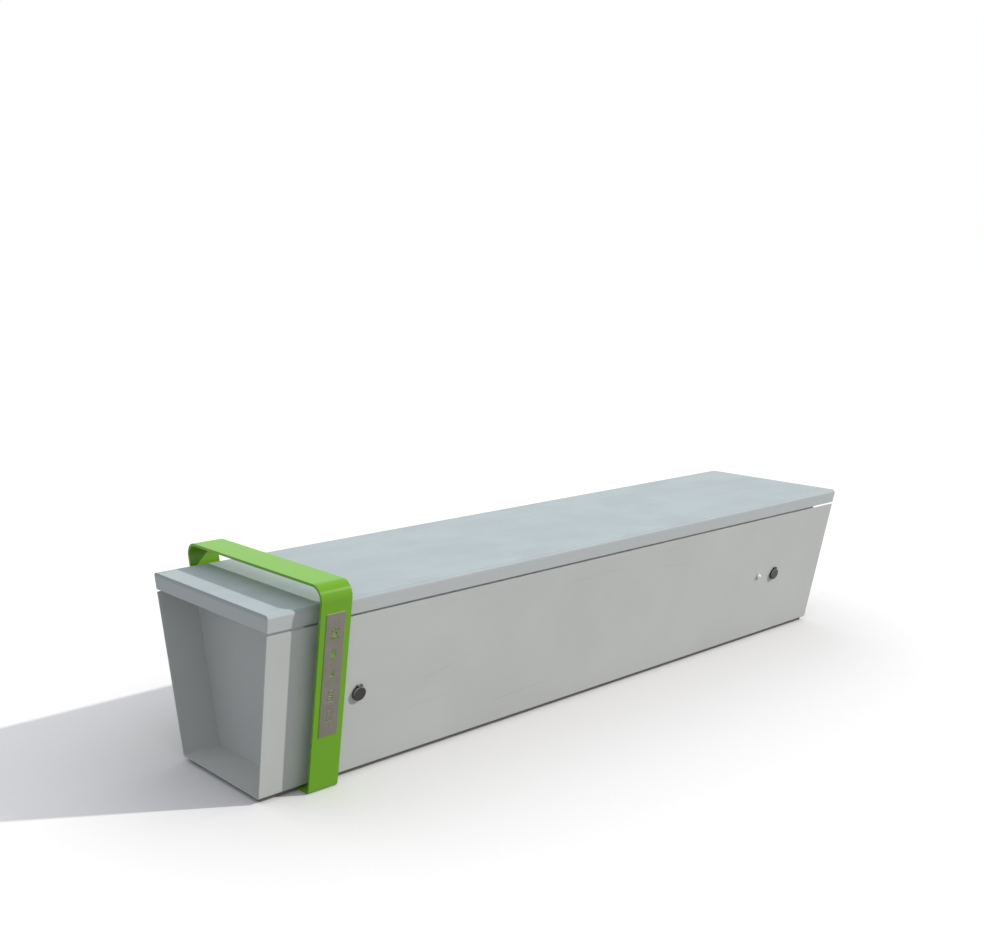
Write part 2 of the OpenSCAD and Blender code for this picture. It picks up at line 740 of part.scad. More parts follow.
module port_cover() color("dimgray") difference() {
    union() {
        translate([0, 0, port_top + cover_gap]) rotate_extrude() polygon([
            [0, port_cover_t - cover_skin], [cover_lip_r - cover_lip_wall, port_cover_t - cover_skin],
            [cover_lip_r - cover_lip_wall, -cover_lip_reach], [cover_lip_r, -cover_lip_reach],
            [cover_lip_r, port_cover_t - cover_skin], [port_cover_r - cover_skin, port_cover_t - cover_skin],
            [port_cover_r - cover_skin, 0], [port_cover_r, 0], [port_cover_r, port_cover_t - cover_chamfer],
            [port_cover_r - cover_chamfer, port_cover_t], [0, port_cover_t]]);
        box_between([-knuckle_half, port_cover_r - cover_skin, hinge_z - knuckle_r],
            [knuckle_half, hinge_y, hinge_z + knuckle_r]);
        translate([0, hinge_y, hinge_z]) bar_along_x(knuckle_r, knuckle_half);
    }
    translate([0, hinge_y, hinge_z]) bar_along_x(pin_r + running_fit, pin_half);
}

module port_pins() color("lightgray") both_ports() translate([0, hinge_y, hinge_z]) bar_along_x(pin_r, pin_half);

module port_gaskets() color("black") both_ports() difference() {
    level_cylinder(port_flange_r - port_chamfer, 0, port_gasket_t);
    level_cylinder(port_barrel_r + seat_fit, -overrun, port_gasket_t + overrun);
}

module port_nuts() color("dimgray") both_ports() difference() {
    translate([0, 0, -sheet - running_fit - port_nut_t]) cylinder(r = port_nut_r, h = port_nut_t, $fn = 6);
    level_cylinder(port_barrel_r + running_fit, -sheet - port_nut_t - overrun, 0);
}

module usb_slot(size, y) translate([-size[0] / 2, y - size[1] / 2, socket_face - size[2]])
    cube([size[0], size[1], size[2] + overrun]);

module port_socket() color("black") union() {
    difference() {
        level_cylinder(port_well_r - socket_fit, -port_depth - socket_tail, socket_face);
        usb_slot(usb_a, usb_a_y);
        usb_slot(usb_c, usb_c_y);
    }
    translate([0, usb_a_y + usb_a[1] / 5, socket_face - usb_a[2] + usb_tongue[2] / 2])
        cube(usb_tongue, center = true);
    translate([0, 0, -port_depth - socket_tail - socket_block[2] / 2]) cube(socket_block, center = true);
}

// Wake button

module button_bezel() color("silver") rotate_extrude() polygon([
    [button_cap_r + running_fit, button_collar_top], [button_collar_bore, button_collar_top],
    [button_collar_bore, -button_barrel_depth], [button_barrel_r, -button_barrel_depth],
    [button_barrel_r, button_gasket_t], [button_flange_r, button_gasket_t],
    [button_flange_r, button_top - button_flange_t / 2], [button_flange_r - button_flange_t / 2, button_top],
    [button_cap_r + running_fit, button_top]]);

module button_cap() color("white") {
    level_cylinder(button_cap_r, button_stem_end, button_top + button_proud);
    translate([0, 0, button_top + button_proud]) sphere(r = button_cap_r);
    level_cylinder(button_collar_r, button_stem_end, button_collar_top - running_fit);
}

module button_gasket() color("black") difference() {
    level_cylinder(button_flange_r - seat_fit, 0, button_gasket_t);
    level_cylinder(button_barrel_r + seat_fit, -overrun, button_gasket_t + overrun);
}

module button_nut() color("lightgray") difference() {
    translate([0, 0, -sheet - running_fit - button_nut_t]) cylinder(r = button_nut_r, h = button_nut_t, $fn = 6);
    level_cylinder(button_barrel_r + running_fit, -sheet - button_nut_t - overrun, 0);
}

module button_switch() color("black") {
    level_cylinder(button_collar_bore - running_fit, -button_barrel_depth - overrun,
        button_stem_end - button_travel - seat_fit);
    level_cylinder(switch_r, -button_barrel_depth - switch_length, -button_barrel_depth);
    for (side = [-1, 1]) translate([side * switch_r / 2, 0,
        -button_barrel_depth - switch_length - switch_tab[2] / 2]) cube(switch_tab, center = true);
}

// Battery on its tray

module battery() color("darkslategray") translate([battery_x, 0, battery_base]) {
    linear_extrude(battery_height - battery_lid) round_rectangle(battery_length - 2 * battery_lid_step,
        battery_width - 2 * battery_lid_step, battery_corner);
    translate([0, 0, battery_height - battery_lid]) linear_extrude(battery_lid)
        round_rectangle(battery_length, battery_width, battery_corner);
}

module terminal_places() for (side = [-1, 1]) translate([battery_x + battery_length / 2 - terminal_inset[0],
    side * (battery_width / 2 - terminal_inset[1]), battery_top]) children();

module battery_terminals() color("goldenrod") terminal_places() {
    level_cylinder(terminal_r, 0, terminal_h / 2);
    level_cylinder(terminal_r - tray_sheet, 0, terminal_h);
}

module battery_tray() {
    inner_x = battery_length / 2 + tray_fit;
    inner_y = battery_width / 2 + tray_fit;
    color("slategray") difference() {
        translate([battery_x, 0, shell_floor]) union() {
            difference() {
                box_between([-inner_x - tray_sheet, -inner_y - tray_sheet, 0],
                    [inner_x + tray_sheet, inner_y + tray_sheet, tray_side]);
                box_between([-inner_x, -inner_y, tray_sheet], [inner_x, inner_y, tray_side + overrun]);
            }
            box_between([-inner_x - ear_reach, -ear_span / 2, 0], [-inner_x, ear_span / 2, tray_sheet]);
            box_between([inner_x, -ear_span / 2, 0], [inner_x + ear_reach, ear_span / 2, tray_sheet]);
        }
        floor_screw_places() level_cylinder(floor_screw_r + running_fit, shell_floor - overrun, battery_base + overrun);
    }
}

module rod_places() for (side = [-1, 1])
    translate([battery_x + side * (battery_length / 2 + rod_out), 0, 0]) children();

module battery_clamp() color("slategray") difference() {
    reach = battery_length / 2 + rod_out + clamp_nut_r + tray_sheet;
    translate([battery_x, 0, battery_top]) box_between([-reach, -clamp_width / 2, 0], [reach, clamp_width / 2, clamp_bar]);
    rod_places() level_cylinder(rod_r + running_fit, battery_top - overrun, battery_top + clamp_bar + overrun);
}

module clamp_rods() color("lightgray") rod_places() {
    level_cylinder(rod_r, battery_base, battery_top + clamp_bar + 2 * clamp_nut_h);
    translate([0, 0, battery_top + clamp_bar]) cylinder(r = clamp_nut_r, h = clamp_nut_h, $fn = 6);
}

// Equipment plate, controller and fuse box

// The floor screws hold the tray's ears and the foot of the equipment plate
module floor_screw_places() {
    for (side = [-1, 1], sy = [-1, 1]) translate([battery_x + side * (battery_length / 2 + rod_out),
        sy * (ear_span / 2 - floor_screw_head_r), 0]) children();
    for (x = [plate_x0 + floor_screw_inset, plate_x1 - floor_screw_inset])
        translate([x, plate_y + plate_foot / 2, 0]) children();
}

module floor_screws() color("lightgray") floor_screw_places() {
    level_cylinder(floor_screw_r, plinth_height - floor_screw_reach, battery_base + floor_screw_head_h);
    level_cylinder(floor_screw_head_r, battery_base + plate_sheet - tray_sheet, battery_base + floor_screw_head_h);
}

module equipment_plate() color("silver") difference() {
    along(plate_x0, plate_x1) polygon([[plate_y - plate_sheet, shell_floor], [plate_y + plate_foot, shell_floor],
        [plate_y + plate_foot, shell_floor + plate_sheet], [plate_y, shell_floor + plate_sheet],
        [plate_y, plate_top], [plate_y - plate_lip, plate_top], [plate_y - plate_lip, plate_top - plate_sheet],
        [plate_y - plate_sheet, plate_top - plate_sheet]]);
    floor_screw_places() level_cylinder(floor_screw_r + running_fit, shell_floor - overrun,
        shell_floor + plate_sheet + overrun);
}

module controller_heatsink() color("dimgray") translate([controller_x, plate_y, controller_z]) {
    pitch = (controller_width - fin_thickness) / (fin_count - 1);
    box_between([-controller_width / 2, fin_depth, -controller_height / 2],
        [controller_width / 2, fin_depth + heatsink_base, controller_height / 2]);
    for (i = [0:fin_count - 1]) translate([i * pitch - controller_width / 2, 0, 0])
        box_between([0, 0, -controller_height / 2], [fin_thickness, fin_depth, controller_height / 2]);
}

module controller_case() color("steelblue")
    translate([controller_x, plate_y + fin_depth + heatsink_base + case_depth, controller_z]) rotate([90, 0, 0])
        linear_extrude(case_depth) round_rectangle(controller_width, controller_height, case_corner);

module fuse_box() color("whitesmoke") translate([fuse_x, plate_y, fuse_z]) {
    box_between([-fuse_size[0] / 2, 0, -fuse_size[2] / 2], [fuse_size[0] / 2, fuse_size[1] / 2, fuse_size[2] / 2]);
    box_between([fuse_lid_step - fuse_size[0] / 2, fuse_size[1] / 2, fuse_lid_step - fuse_size[2] / 2],
        [fuse_size[0] / 2 - fuse_lid_step, fuse_size[1], fuse_size[2] / 2 - fuse_lid_step]);
}

// Leads

module solar_loom() {
    box_z = core_top - junction_size[2];
    case_y = plate_y + fin_depth + heatsink_base + case_depth / 2;
    case_z = controller_z - controller_height / 2;
    color("black") union() {
        lead([[laminate_x(0), trunk_y, box_z], [laminate_x(0), trunk_y, trunk_z],
            [laminate_x(2), trunk_y, trunk_z], [laminate_x(2), trunk_y, box_z]], lead_r);
        lead([[laminate_x(1), trunk_y, box_z], [laminate_x(1), trunk_y, trunk_z]], lead_r);
        lead([[controller_x, trunk_y, trunk_z], [controller_x, trunk_y, case_z / 2],
            [controller_x, case_y, case_z / 2], [controller_x, case_y, case_z]], lead_r);
    }
}

module battery_leads() color("firebrick") for (side = [-1, 1]) {
    start = [battery_x + battery_length / 2 - terminal_inset[0], side * (battery_width / 2 - terminal_inset[1]),
        battery_top + terminal_h];
    stop = [fuse_x + side * lead_entry_x, plate_y + fuse_size[1] / 4, fuse_z + fuse_size[2] / 2];
    lead([start, [start[0], start[1], over_z], [stop[0], start[1], over_z], [stop[0], stop[1], over_z], stop], lead_r);
}

// A lead from the back of a front-wall fitting down to the floor run at run_y
function drop(x, z, depth) = let(full = (half_width(z) + run_y) / cos(wall_lean))
    [behind(x, z, depth), behind(x, z, full), [x, run_y, run_z]];

module port_loom_near() color("black") lead(concat(
    drop(-port_x, port_height, port_depth + socket_tail + socket_block[2]),
    [[near_run_x, run_y, run_z], [near_run_x, near_entry[0], run_z], [near_run_x, near_entry[0], near_entry[1]],
        [fuse_x + fuse_size[0] / 2, near_entry[0], near_entry[1]]]), lead_r);

module port_loom_far() {
    switch_end = button_barrel_depth + switch_length + switch_tab[2];
    color("black") union() {
        lead(concat(drop(port_x, port_height, port_depth + socket_tail + socket_block[2]),
            [[far_run_x, run_y, run_z], [far_run_x, far_entry[0], run_z], [far_run_x, far_entry[0], far_entry[1]],
                [fuse_x + fuse_size[0] / 2 - fuse_lid_step, far_entry[0], far_entry[1]]]), lead_r);
        lead(drop(button_x, button_height, switch_end), lead_r);
    }
}

// Saddle clips over the floor run
module cable_clips() {
    saddle_r = lead_r + seat_fit;
    color("whitesmoke") for (share = concat(clip_near_shares, clip_far_shares))
        translate([share * half_length, run_y, 0]) difference() {
            union() {
                translate([0, 0, run_z]) bar_along_x(saddle_r + clip_wall, clip_width / 2);
                box_between([-clip_width / 2, -saddle_r - clip_wall, shell_floor],
                    [clip_width / 2, saddle_r + clip_wall, run_z]);
                box_between([-clip_width / 2, -saddle_r - clip_foot, shell_floor],
                    [clip_width / 2, saddle_r, shell_floor + clip_wall]);
            }
            translate([0, 0, run_z]) bar_along_x(saddle_r, clip_width);
            box_between([-clip_width, -saddle_r, shell_floor - overrun], [clip_width, saddle_r, run_z]);
            box_between([-clip_width, -base_width, -overrun], [clip_width, base_width, shell_floor]);
        }
}

shell();
end_panel();  // end_panel_near
mirror([1, 0, 0]) end_panel();  // end_panel_far
end_panel_screws();
plinth_side(-1);  // plinth_front
plinth_side(1);  // plinth_rear
plinth_ends();
gap_seal();
seat_bearer(0);  // seat_bearer_1
seat_bearer(1);  // seat_bearer_2
seat_bearer(2);  // seat_bearer_3
seat_bearer(3);  // seat_bearer_4
bearing_pads();
bearer_rivets();
seat_bolts();
seat_inserts();
seat_pan();
seat_core();
solar_laminate(0);  // solar_laminate_1
solar_laminate(1);  // solar_laminate_2
solar_laminate(2);  // solar_laminate_3
junction_boxes();
seat_cover();
hoop();
hoop_bolts();
pictogram_plate();
service_frame();
service_gasket();
service_panel();
service_screws();
on_front(-port_x, port_height) port_bezel();  // port_bezel_near
on_front(port_x, port_height) port_bezel();  // port_bezel_far
port_gaskets();
port_nuts();
on_front(-port_x, port_height) port_socket();  // port_socket_near
on_front(port_x, port_height) port_socket();  // port_socket_far
on_front(-port_x, port_height) port_cover();  // port_cover_near
on_front(port_x, port_height) port_cover();  // port_cover_far
port_pins();
on_front(button_x, button_height) button_bezel();
on_front(button_x, button_height) button_gasket();
on_front(button_x, button_height) button_nut();
on_front(button_x, button_height) button_cap();
on_front(button_x, button_height) button_switch();
battery();
battery_terminals();
battery_tray();
battery_clamp();
clamp_rods();
equipment_plate();
controller_heatsink();
controller_case();
fuse_box();
floor_screws();
solar_loom();
battery_leads();
port_loom_near();
port_loom_far();
cable_clips();
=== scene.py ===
"""Finishes, fine pieces, light and camera for the solar charging bench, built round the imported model."""

import json
import logging
import math
from dataclasses import dataclass, field
from enum import Enum
from functools import reduce
from typing import Any, Iterable, Sequence, Union

import bmesh
import bpy
from mathutils import Matrix, Vector


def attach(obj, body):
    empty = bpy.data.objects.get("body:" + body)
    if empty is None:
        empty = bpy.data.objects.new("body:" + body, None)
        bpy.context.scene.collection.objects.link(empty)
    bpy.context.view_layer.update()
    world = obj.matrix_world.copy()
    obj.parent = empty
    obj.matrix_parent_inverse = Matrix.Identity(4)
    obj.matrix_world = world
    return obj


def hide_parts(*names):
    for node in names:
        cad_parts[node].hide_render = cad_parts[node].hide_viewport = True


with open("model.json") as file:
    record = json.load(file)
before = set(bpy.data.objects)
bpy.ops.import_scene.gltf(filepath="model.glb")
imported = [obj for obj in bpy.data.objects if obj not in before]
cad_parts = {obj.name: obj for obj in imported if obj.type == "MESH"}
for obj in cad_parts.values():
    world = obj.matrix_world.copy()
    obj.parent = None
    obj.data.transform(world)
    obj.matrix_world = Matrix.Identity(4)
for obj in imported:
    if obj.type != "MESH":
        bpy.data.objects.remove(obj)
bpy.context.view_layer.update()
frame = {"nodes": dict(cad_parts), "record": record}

LOG = logging.getLogger("bench")
MM = 0.001
FULL_TURN = 2.0 * math.pi
MERGE_DISTANCE = 1e-6
NOISE_MIDDLE = 0.5
NOISE_SPAN = (0.3, 0.7)

SEAT_TOP = 450 * MM
PORT_X = 802 * MM
PORT_Z = 210 * MM

Colour = tuple[float, float, float, float]
Point = tuple[float, float, float]
Span = tuple[float, float]
Outline = list[Span]


def rgb(red: float, green: float, blue: float) -> Colour:
    """An opaque colour from its linear red, green and blue."""
    return (red, green, blue, 1.0)


WHITE = rgb(1.0, 1.0, 1.0)


# Shader maths


class Blending(Enum):
    """The ways in which two colours are laid over each other."""

    MIX = "MIX"
    MULTIPLY = "MULTIPLY"


class Grain(Enum):
    """How a surface was brushed, as the stretch of its streaks along X, Y and Z."""

    ALONG_BENCH = (2.0, 700.0, 700.0)
    UP_THE_WALL = (900.0, 6.0, 6.0)
    ROUND = (260.0, 260.0, 260.0)


@dataclass(frozen=True)
class Noise:
    """A soft pattern: its blobs in a metre, finer layers and their strength, and its stretch by axis."""

    scale: float
    detail: float = 2.0
    rough: float = 0.5
    stretch: Point | None = None


class Shade:
    """One output socket of a node tree, with the sums that the finishes are written in."""

    def __init__(self, graph: "Graph", socket: bpy.types.NodeSocket) -> None:
        """Wraps a socket of the graph."""
        self.graph = graph
        self.socket = socket

    def _sum(self, operation: str, first: "Value", second: "Value") -> "Shade":
        """Joins two values in one Math node, or in one Vector Math node where either is a vector.

        Args:
            operation: the node's operation.
            first: the value on the left.
            second: the value on the right.

        Returns:
            The node's result.
        """
        plain = all(
            value.socket.type == "VALUE" if isinstance(value, Shade) else isinstance(value, (int, float))
            for value in (first, second)
        )
        kind = "ShaderNodeMath" if plain else "ShaderNodeVectorMath"
        return self.graph.node(kind, {0: first, 1: second}, operation=operation)

    def __add__(self, other: "Value") -> "Shade":
        """self + other."""
        return self._sum("ADD", self, other)

    def __radd__(self, other: "Value") -> "Shade":
        """other + self."""
        return self._sum("ADD", other, self)

    def __sub__(self, other: "Value") -> "Shade":
        """self - other."""
        return self._sum("SUBTRACT", self, other)

    def __rsub__(self, other: "Value") -> "Shade":
        """other - self."""
        return self._sum("SUBTRACT", other, self)

    def __mul__(self, other: "Value") -> "Shade":
        """self * other."""
        return self._sum("MULTIPLY", self, other)

    def __rmul__(self, other: "Value") -> "Shade":
        """other * self."""
        return self._sum("MULTIPLY", other, self)

    def __truediv__(self, other: "Value") -> "Shade":
        """self / other."""
        return self._sum("DIVIDE", self, other)

    def __rtruediv__(self, other: "Value") -> "Shade":
        """other / self."""
        return self._sum("DIVIDE", other, self)

    def most(self, other: "Value") -> "Shade":
        """The larger of the two."""
        return self._sum("MAXIMUM", self, other)

    def size(self) -> "Shade":
        """The value without its sign."""
        return self.graph.node("ShaderNodeMath", {0: self}, operation="ABSOLUTE")

    def root(self) -> "Shade":
        """The square root."""
        return self.graph.node("ShaderNodeMath", {0: self}, operation="SQRT")

    def to_and_fro(self, span: float = 0.5) -> "Shade":
        """Folds the value, so that it runs up to a span and back to 0, over and over."""
        return self.graph.node("ShaderNodeMath", {0: self, 1: span}, operation="PINGPONG")

    def off_middle(self, times: "Value") -> "Shade":
        """How far a noise is from its middle, times a value."""
        return (self - NOISE_MIDDLE) * times

    def parts(self) -> tuple["Shade", "Shade", "Shade"]:
        """The X, Y and Z of a vector."""
        split = self.graph.node("ShaderNodeSeparateXYZ", {0: self}).socket.node
        return tuple(Shade(self.graph, out) for out in split.outputs)


Value = Union[Shade, float, int, tuple]


class Graph:
    """A node tree under construction."""

    def __init__(self, tree: bpy.types.NodeTree) -> None:
        """Starts from an empty tree."""
        self.tree = tree
        self.tree.nodes.clear()

    def node(
        self, kind: str, inputs: dict[Union[int, str], Value] | None = None, out: int = 0, **settings: Any
    ) -> Shade:
        """Adds a node, sets it up, then fills or links its sockets.

        Args:
            kind: the node's type.
            inputs: the value or link of each socket, by its name or number.
            out: the number of the output that is wanted.
            settings: the node's own settings, such as its operation.

        Returns:
            The wanted output.
        """
        made = self.tree.nodes.new(kind)
        for name, setting in settings.items():
            setattr(made, name, setting)
        for key, value in (inputs or {}).items():
            if isinstance(value, Shade):
                self.tree.links.new(value.socket, made.inputs[key])
            elif isinstance(value, (int, float)) and made.inputs[key].type in ("VECTOR", "RGBA"):
                size = len(made.inputs[key].default_value)
                made.inputs[key].default_value = (value, value, value, 1.0)[:size]
            else:
                made.inputs[key].default_value = value
        return Shade(self, made.outputs[out]) if made.outputs else Shade(self, made.inputs[0])

    def place(self) -> Shade:
        """Where the surface is in the bench's own frame, in metres, moving with its body."""
        return self.node("ShaderNodeTexCoord", out=3)

    def noise(self, where: Shade, pattern: Noise) -> Shade:
        """Soft noise from 0 to 1.

        Args:
            where: the place that the noise is read at.
            pattern: its scale, layers and stretch.

        Returns:
            The noise as a number.
        """
        spot = where if pattern.stretch is None else where * pattern.stretch
        return self.node(
            "ShaderNodeTexNoise",
            {"Vector": spot, "Scale": pattern.scale, "Detail": pattern.detail, "Roughness": pattern.rough},
        )

    def between(
        self, value: Value, low: float, high: float, to_low: float = 0.0, to_high: float = 1.0
    ) -> Shade:
        """Eases a number from one span to another and holds it at both ends.

        Args:
            value: the number.
            low: where the easing starts.
            high: where the easing ends.
            to_low: the result at and below low.
            to_high: the result at and above high.

        Returns:
            The eased number.
        """
        return self.node(
            "ShaderNodeMapRange",
            {"Value": value, "From Min": low, "From Max": high, "To Min": to_low, "To Max": to_high},
            interpolation_type="SMOOTHSTEP",
        )

    def mix(self, share: Value, first: Value, second: Value, how: Blending = Blending.MIX) -> Shade:
        """Lays the second colour over the first by a share.

        Args:
            share: 0 for the first, 1 for the second.
            first: the colour below.
            second: the colour above.
            how: the way of blending.

        Returns:
            The mixed colour.
        """
        return self.node(
            "ShaderNodeMix", {0: share, 6: first, 7: second}, out=2, data_type="RGBA", blend_type=how.value
        )

    def toned(self, colour: Value, pattern: Shade, swing: float) -> Shade:
        """Makes a colour darker and lighter after a pattern.

        Args:
            colour: the colour.
            pattern: the noise that it follows.
            swing: the largest change, as a share of the colour.

        Returns:
            The uneven colour.
        """
        tone = self.between(pattern, *NOISE_SPAN, 1.0 - swing, 1.0 + swing)
        return self.mix(1.0, colour, tone, Blending.MULTIPLY)


# Finishes


@dataclass(frozen=True)
class Finish:
    """What all finishes share: name, colour, roughness and its swing, and the relief of their skin."""

    name: str
    colour: Colour
    roughness: float
    swing: float = 0.2
    depth: float = 0.1 * MM
    strength: float = 0.3
    edge: float = 0.3 * MM

    def surface(self, graph: Graph) -> dict[str, Value]:
        """The values and links of the shader's sockets."""
        return {"Base Color": self.colour, "Roughness": self.roughness}

    def relief(self, graph: Graph, height: Shade) -> Shade:
        """A normal from a height, over edges that are eased by a small radius.

        Args:
            graph: the tree that it is added to.
            height: the relief from 0 to 1.

        Returns:
            The normal.
        """
        eased = graph.node("ShaderNodeBevel", {"Radius": self.edge}, samples=4)
        values = {"Height": height, "Distance": self.depth, "Strength": self.strength, "Normal": eased}
        return graph.node("ShaderNodeBump", values)

    def make(self) -> bpy.types.Material:
        """Builds the material.

        Returns:
            The finished material.
        """
        material = bpy.data.materials.new(self.name)
        material.use_nodes = True
        graph = Graph(material.node_tree)
        shader = graph.node("ShaderNodeBsdfPrincipled", self.surface(graph))
        graph.node("ShaderNodeOutputMaterial", {"Surface": shader})
        return material


@dataclass(frozen=True)
class Scratches:
    """Faint long scratches on the front wall, which bow a little and fade towards their ends."""

    # start x, start z, end x, end z and width of each scratch, all in metres
    lines: tuple[tuple[float, float, float, float, float], ...] = (
        (-0.38, 0.075, -0.16, 0.086, 0.0011),
        (-0.20, 0.350, 0.08, 0.362, 0.0010),
        (0.16, 0.345, 0.40, 0.312, 0.0008),
        (-0.64, 0.190, -0.44, 0.236, 0.0009),
        (-0.70, 0.128, -0.50, 0.141, 0.0008),
        (0.02, 0.060, 0.20, 0.082, 0.0008),
        (0.22, 0.372, 0.34, 0.396, 0.0008),
    )
    colour: Colour = rgb(0.18, 0.18, 0.18)
    share: float = 0.22
    bow: float = 12 * MM
    core: float = 0.3
    fade: Span = (0.3, 0.5)
    front_wall: Span = (-100 * MM, -120 * MM)

    def mask(self, graph: Graph, place: Shade) -> Shade:
        """Draws the scratches.

        Args:
            graph: the tree that they are added to.
            place: where the surface is.

        Returns:
            1 on a scratch and 0 elsewhere.
        """
        x, y, z = place.parts()
        marks: list[Shade] = []
        for x0, z0, x1, z1, width in self.lines:
            length = math.hypot(x1 - x0, z1 - z0)
            along_x, along_z = (x1 - x0) / length, (z1 - z0) / length
            along = (x - x0) * along_x + (z - z0) * along_z
            from_centre = along / length - 0.5
            bow = from_centre * from_centre * self.bow
            across = ((x - x0) * -along_z + (z - z0) * along_x + bow).size()
            line = graph.between(across, self.core * width, width, 1.0, 0.0)
            marks.append(line * graph.between(from_centre.size(), *self.fade, 1.0, 0.0))
        return reduce(Shade.most, marks) * graph.between(y, *self.front_wall)


@dataclass(frozen=True)
class PowderCoat(Finish):
    """Powder paint on sheet metal: orange peel, faint clouds, dust near the ground, and lacquer or haze."""

    level: float = 0.5
    swing: float = 0.06
    drift: float = 0.03
    clouds: Noise = Noise(3.5, 3.0, 0.55)
    specks: Noise = Noise(160.0, 2.0, 0.6)
    dust: float = 0.05
    dust_top: float = 70 * MM
    dust_swing: float = 20 * MM
    dust_colour: Colour = rgb(0.33, 0.31, 0.28)
    dust_roughness: float = 0.6
    peel: Noise = Noise(520.0, 1.0)
    depth: float = 0.12 * MM
    strength: float = 0.35
    edge: float = 0.7 * MM
    lacquer: float = 0.0
    lacquer_roughness: float = 0.09
    haze: float = 0.0
    haze_roughness: float = 0.5
    haze_tint: Colour = WHITE
    scratches: Scratches | None = None

    def surface(self, graph: Graph) -> dict[str, Value]:
        """Mixes the paint: clouds, dust, roughness, peel and scratches.

        Args:
            graph: the material's tree.

        Returns:
            The values and links of the shader's sockets.
        """
        place = graph.place()
        specks = graph.noise(place, self.specks)
        colour = graph.toned(self.colour, graph.noise(place, self.clouds), self.drift)
        height = place.parts()[2] + specks.off_middle(self.dust_swing)
        dusty = graph.between(height, 0.0, self.dust_top, self.dust, 0.0)
        colour = graph.mix(dusty, colour, self.dust_colour)
        relief = graph.noise(place, self.peel)
        if self.scratches is not None:
            lines = self.scratches.mask(graph, place)
            colour = graph.mix(lines * self.scratches.share, colour, self.scratches.colour)
            relief = relief - lines
        return {
            "Base Color": colour,
            "Roughness": self.roughness + specks.off_middle(self.swing) + dusty * self.dust_roughness,
            "Specular IOR Level": self.level,
            "Coat Weight": self.lacquer,
            "Coat Roughness": self.lacquer_roughness,
            "Sheen Weight": self.haze,
            "Sheen Roughness": self.haze_roughness,
            "Sheen Tint": self.haze_tint,
            "Normal": self.relief(graph, relief),
        }


@dataclass(frozen=True)
class LightPassingCover(Finish):
    """The pale seat cover: a cast sheet with painted reflected clouds, bluer on top from dark cells under
    it and a painted sky reflection, and painted shade on its rounded edges.
    """

    # painted reflection: the darker colour of reflected clouds, mottled over the top
    reflected_cloud: Colour = rgb(0.421, 0.477, 0.488)
    clouds: Noise = Noise(5.0, 4.0, 0.6, (1.0, 1.7, 1.0))
    streaks: Noise = Noise(9.0, 3.0, 0.55, (0.35, 3.0, 1.0))
    cloud_share: float = 0.85
    cloud_span: Span = (0.36, 0.64)
    # the cover's own colour on its edges and ends; the top is bluer, from the cells under it and a painted
    # sky reflection
    rim: Colour = rgb(0.515, 0.53, 0.525)
    rim_drop: Span = (9 * MM, 1 * MM)
    # painted shade: the colour just under the top, on the rounded edges, is darkened to this share
    bend_shade: float = 0.85
    bend_shade_drop: Span = (11.25 * MM, 8.1 * MM)
    flat_drop: Span = (0.6 * MM, 0.1 * MM)
    skin: Noise = Noise(900.0, 2.0, 0.6)
    rub: Noise = Noise(34.0, 5.0, 0.7, (1.0, 0.25, 1.0))
    cloud_swing: float = 0.02
    swing: float = 0.05
    depth: float = 0.08 * MM
    strength: float = 0.4
    edge: float = 0.8 * MM

    def surface(self, graph: Graph) -> dict[str, Value]:
        """Mixes the cover, by how far below the seat's top the surface is.

        Args:
            graph: the material's tree.

        Returns:
            The values and links of the shader's sockets.
        """
        place = graph.place()
        height = place.parts()[2]
        clouds = graph.noise(place, self.clouds) * self.cloud_share
        streaks = graph.noise(place, self.streaks) * (1.0 - self.cloud_share)
        cloud_reflection = graph.between(clouds + streaks, *self.cloud_span)
        # the top, which is bluer: the tint of the cells under it and a painted sky reflection
        cells_and_sky_top = graph.between(height, *(SEAT_TOP - drop for drop in self.rim_drop))
        # the rounded edges, which get painted shade
        bent = graph.between(height, *(SEAT_TOP - drop for drop in self.bend_shade_drop))
        bent = bent * graph.between(height, *(SEAT_TOP - drop for drop in self.flat_drop), 1.0, 0.0)
        # painted reflection of clouds, mottled over the cover's colour
        colour = graph.mix(cloud_reflection, self.colour, self.reflected_cloud)
        colour = graph.mix(cells_and_sky_top, self.rim, colour)
        rub = graph.noise(place, self.rub).off_middle(self.swing)
        return {
            # painted shade darkens the rounded edges
            "Base Color": graph.mix(1.0, colour, 1.0 - bent * (1.0 - self.bend_shade), Blending.MULTIPLY),
            "Roughness": self.roughness + cloud_reflection.off_middle(cells_and_sky_top) * self.cloud_swing + rub,
            "Normal": self.relief(graph, graph.noise(place, self.skin)),
        }


@dataclass(frozen=True)
class BrushedMetal(Finish):
    """Bare metal brushed one way, with streaks in its colour, sheen and relief."""

    metallic: float = 1.0
    grain: Grain = Grain.ROUND
    streaks: Noise = Noise(1.0, 3.0, 0.6)
    stains: Noise = Noise(22.0, 4.0, 0.6)
    streak: float = 0.12
    streak_share: float = 0.6
    swing: float = 0.16
    depth: float = 0.04 * MM
    strength: float = 0.35

    def surface(self, graph: Graph) -> dict[str, Value]:
        """Mixes the metal: streaks and stains.

        Args:
            graph: the material's tree.

        Returns:
            The values and links of the shader's sockets.
        """
        place = graph.place()
        streaks = graph.noise(place * self.grain.value, self.streaks)
        stains = graph.noise(place, self.stains)
        pattern = streaks * self.streak_share + stains * (1.0 - self.streak_share)
        return {
            "Base Color": graph.toned(self.colour, pattern, self.streak),
            "Metallic": self.metallic,
            "Roughness": self.roughness + streaks.off_middle(self.swing),
            "Normal": self.relief(graph, streaks),
        }


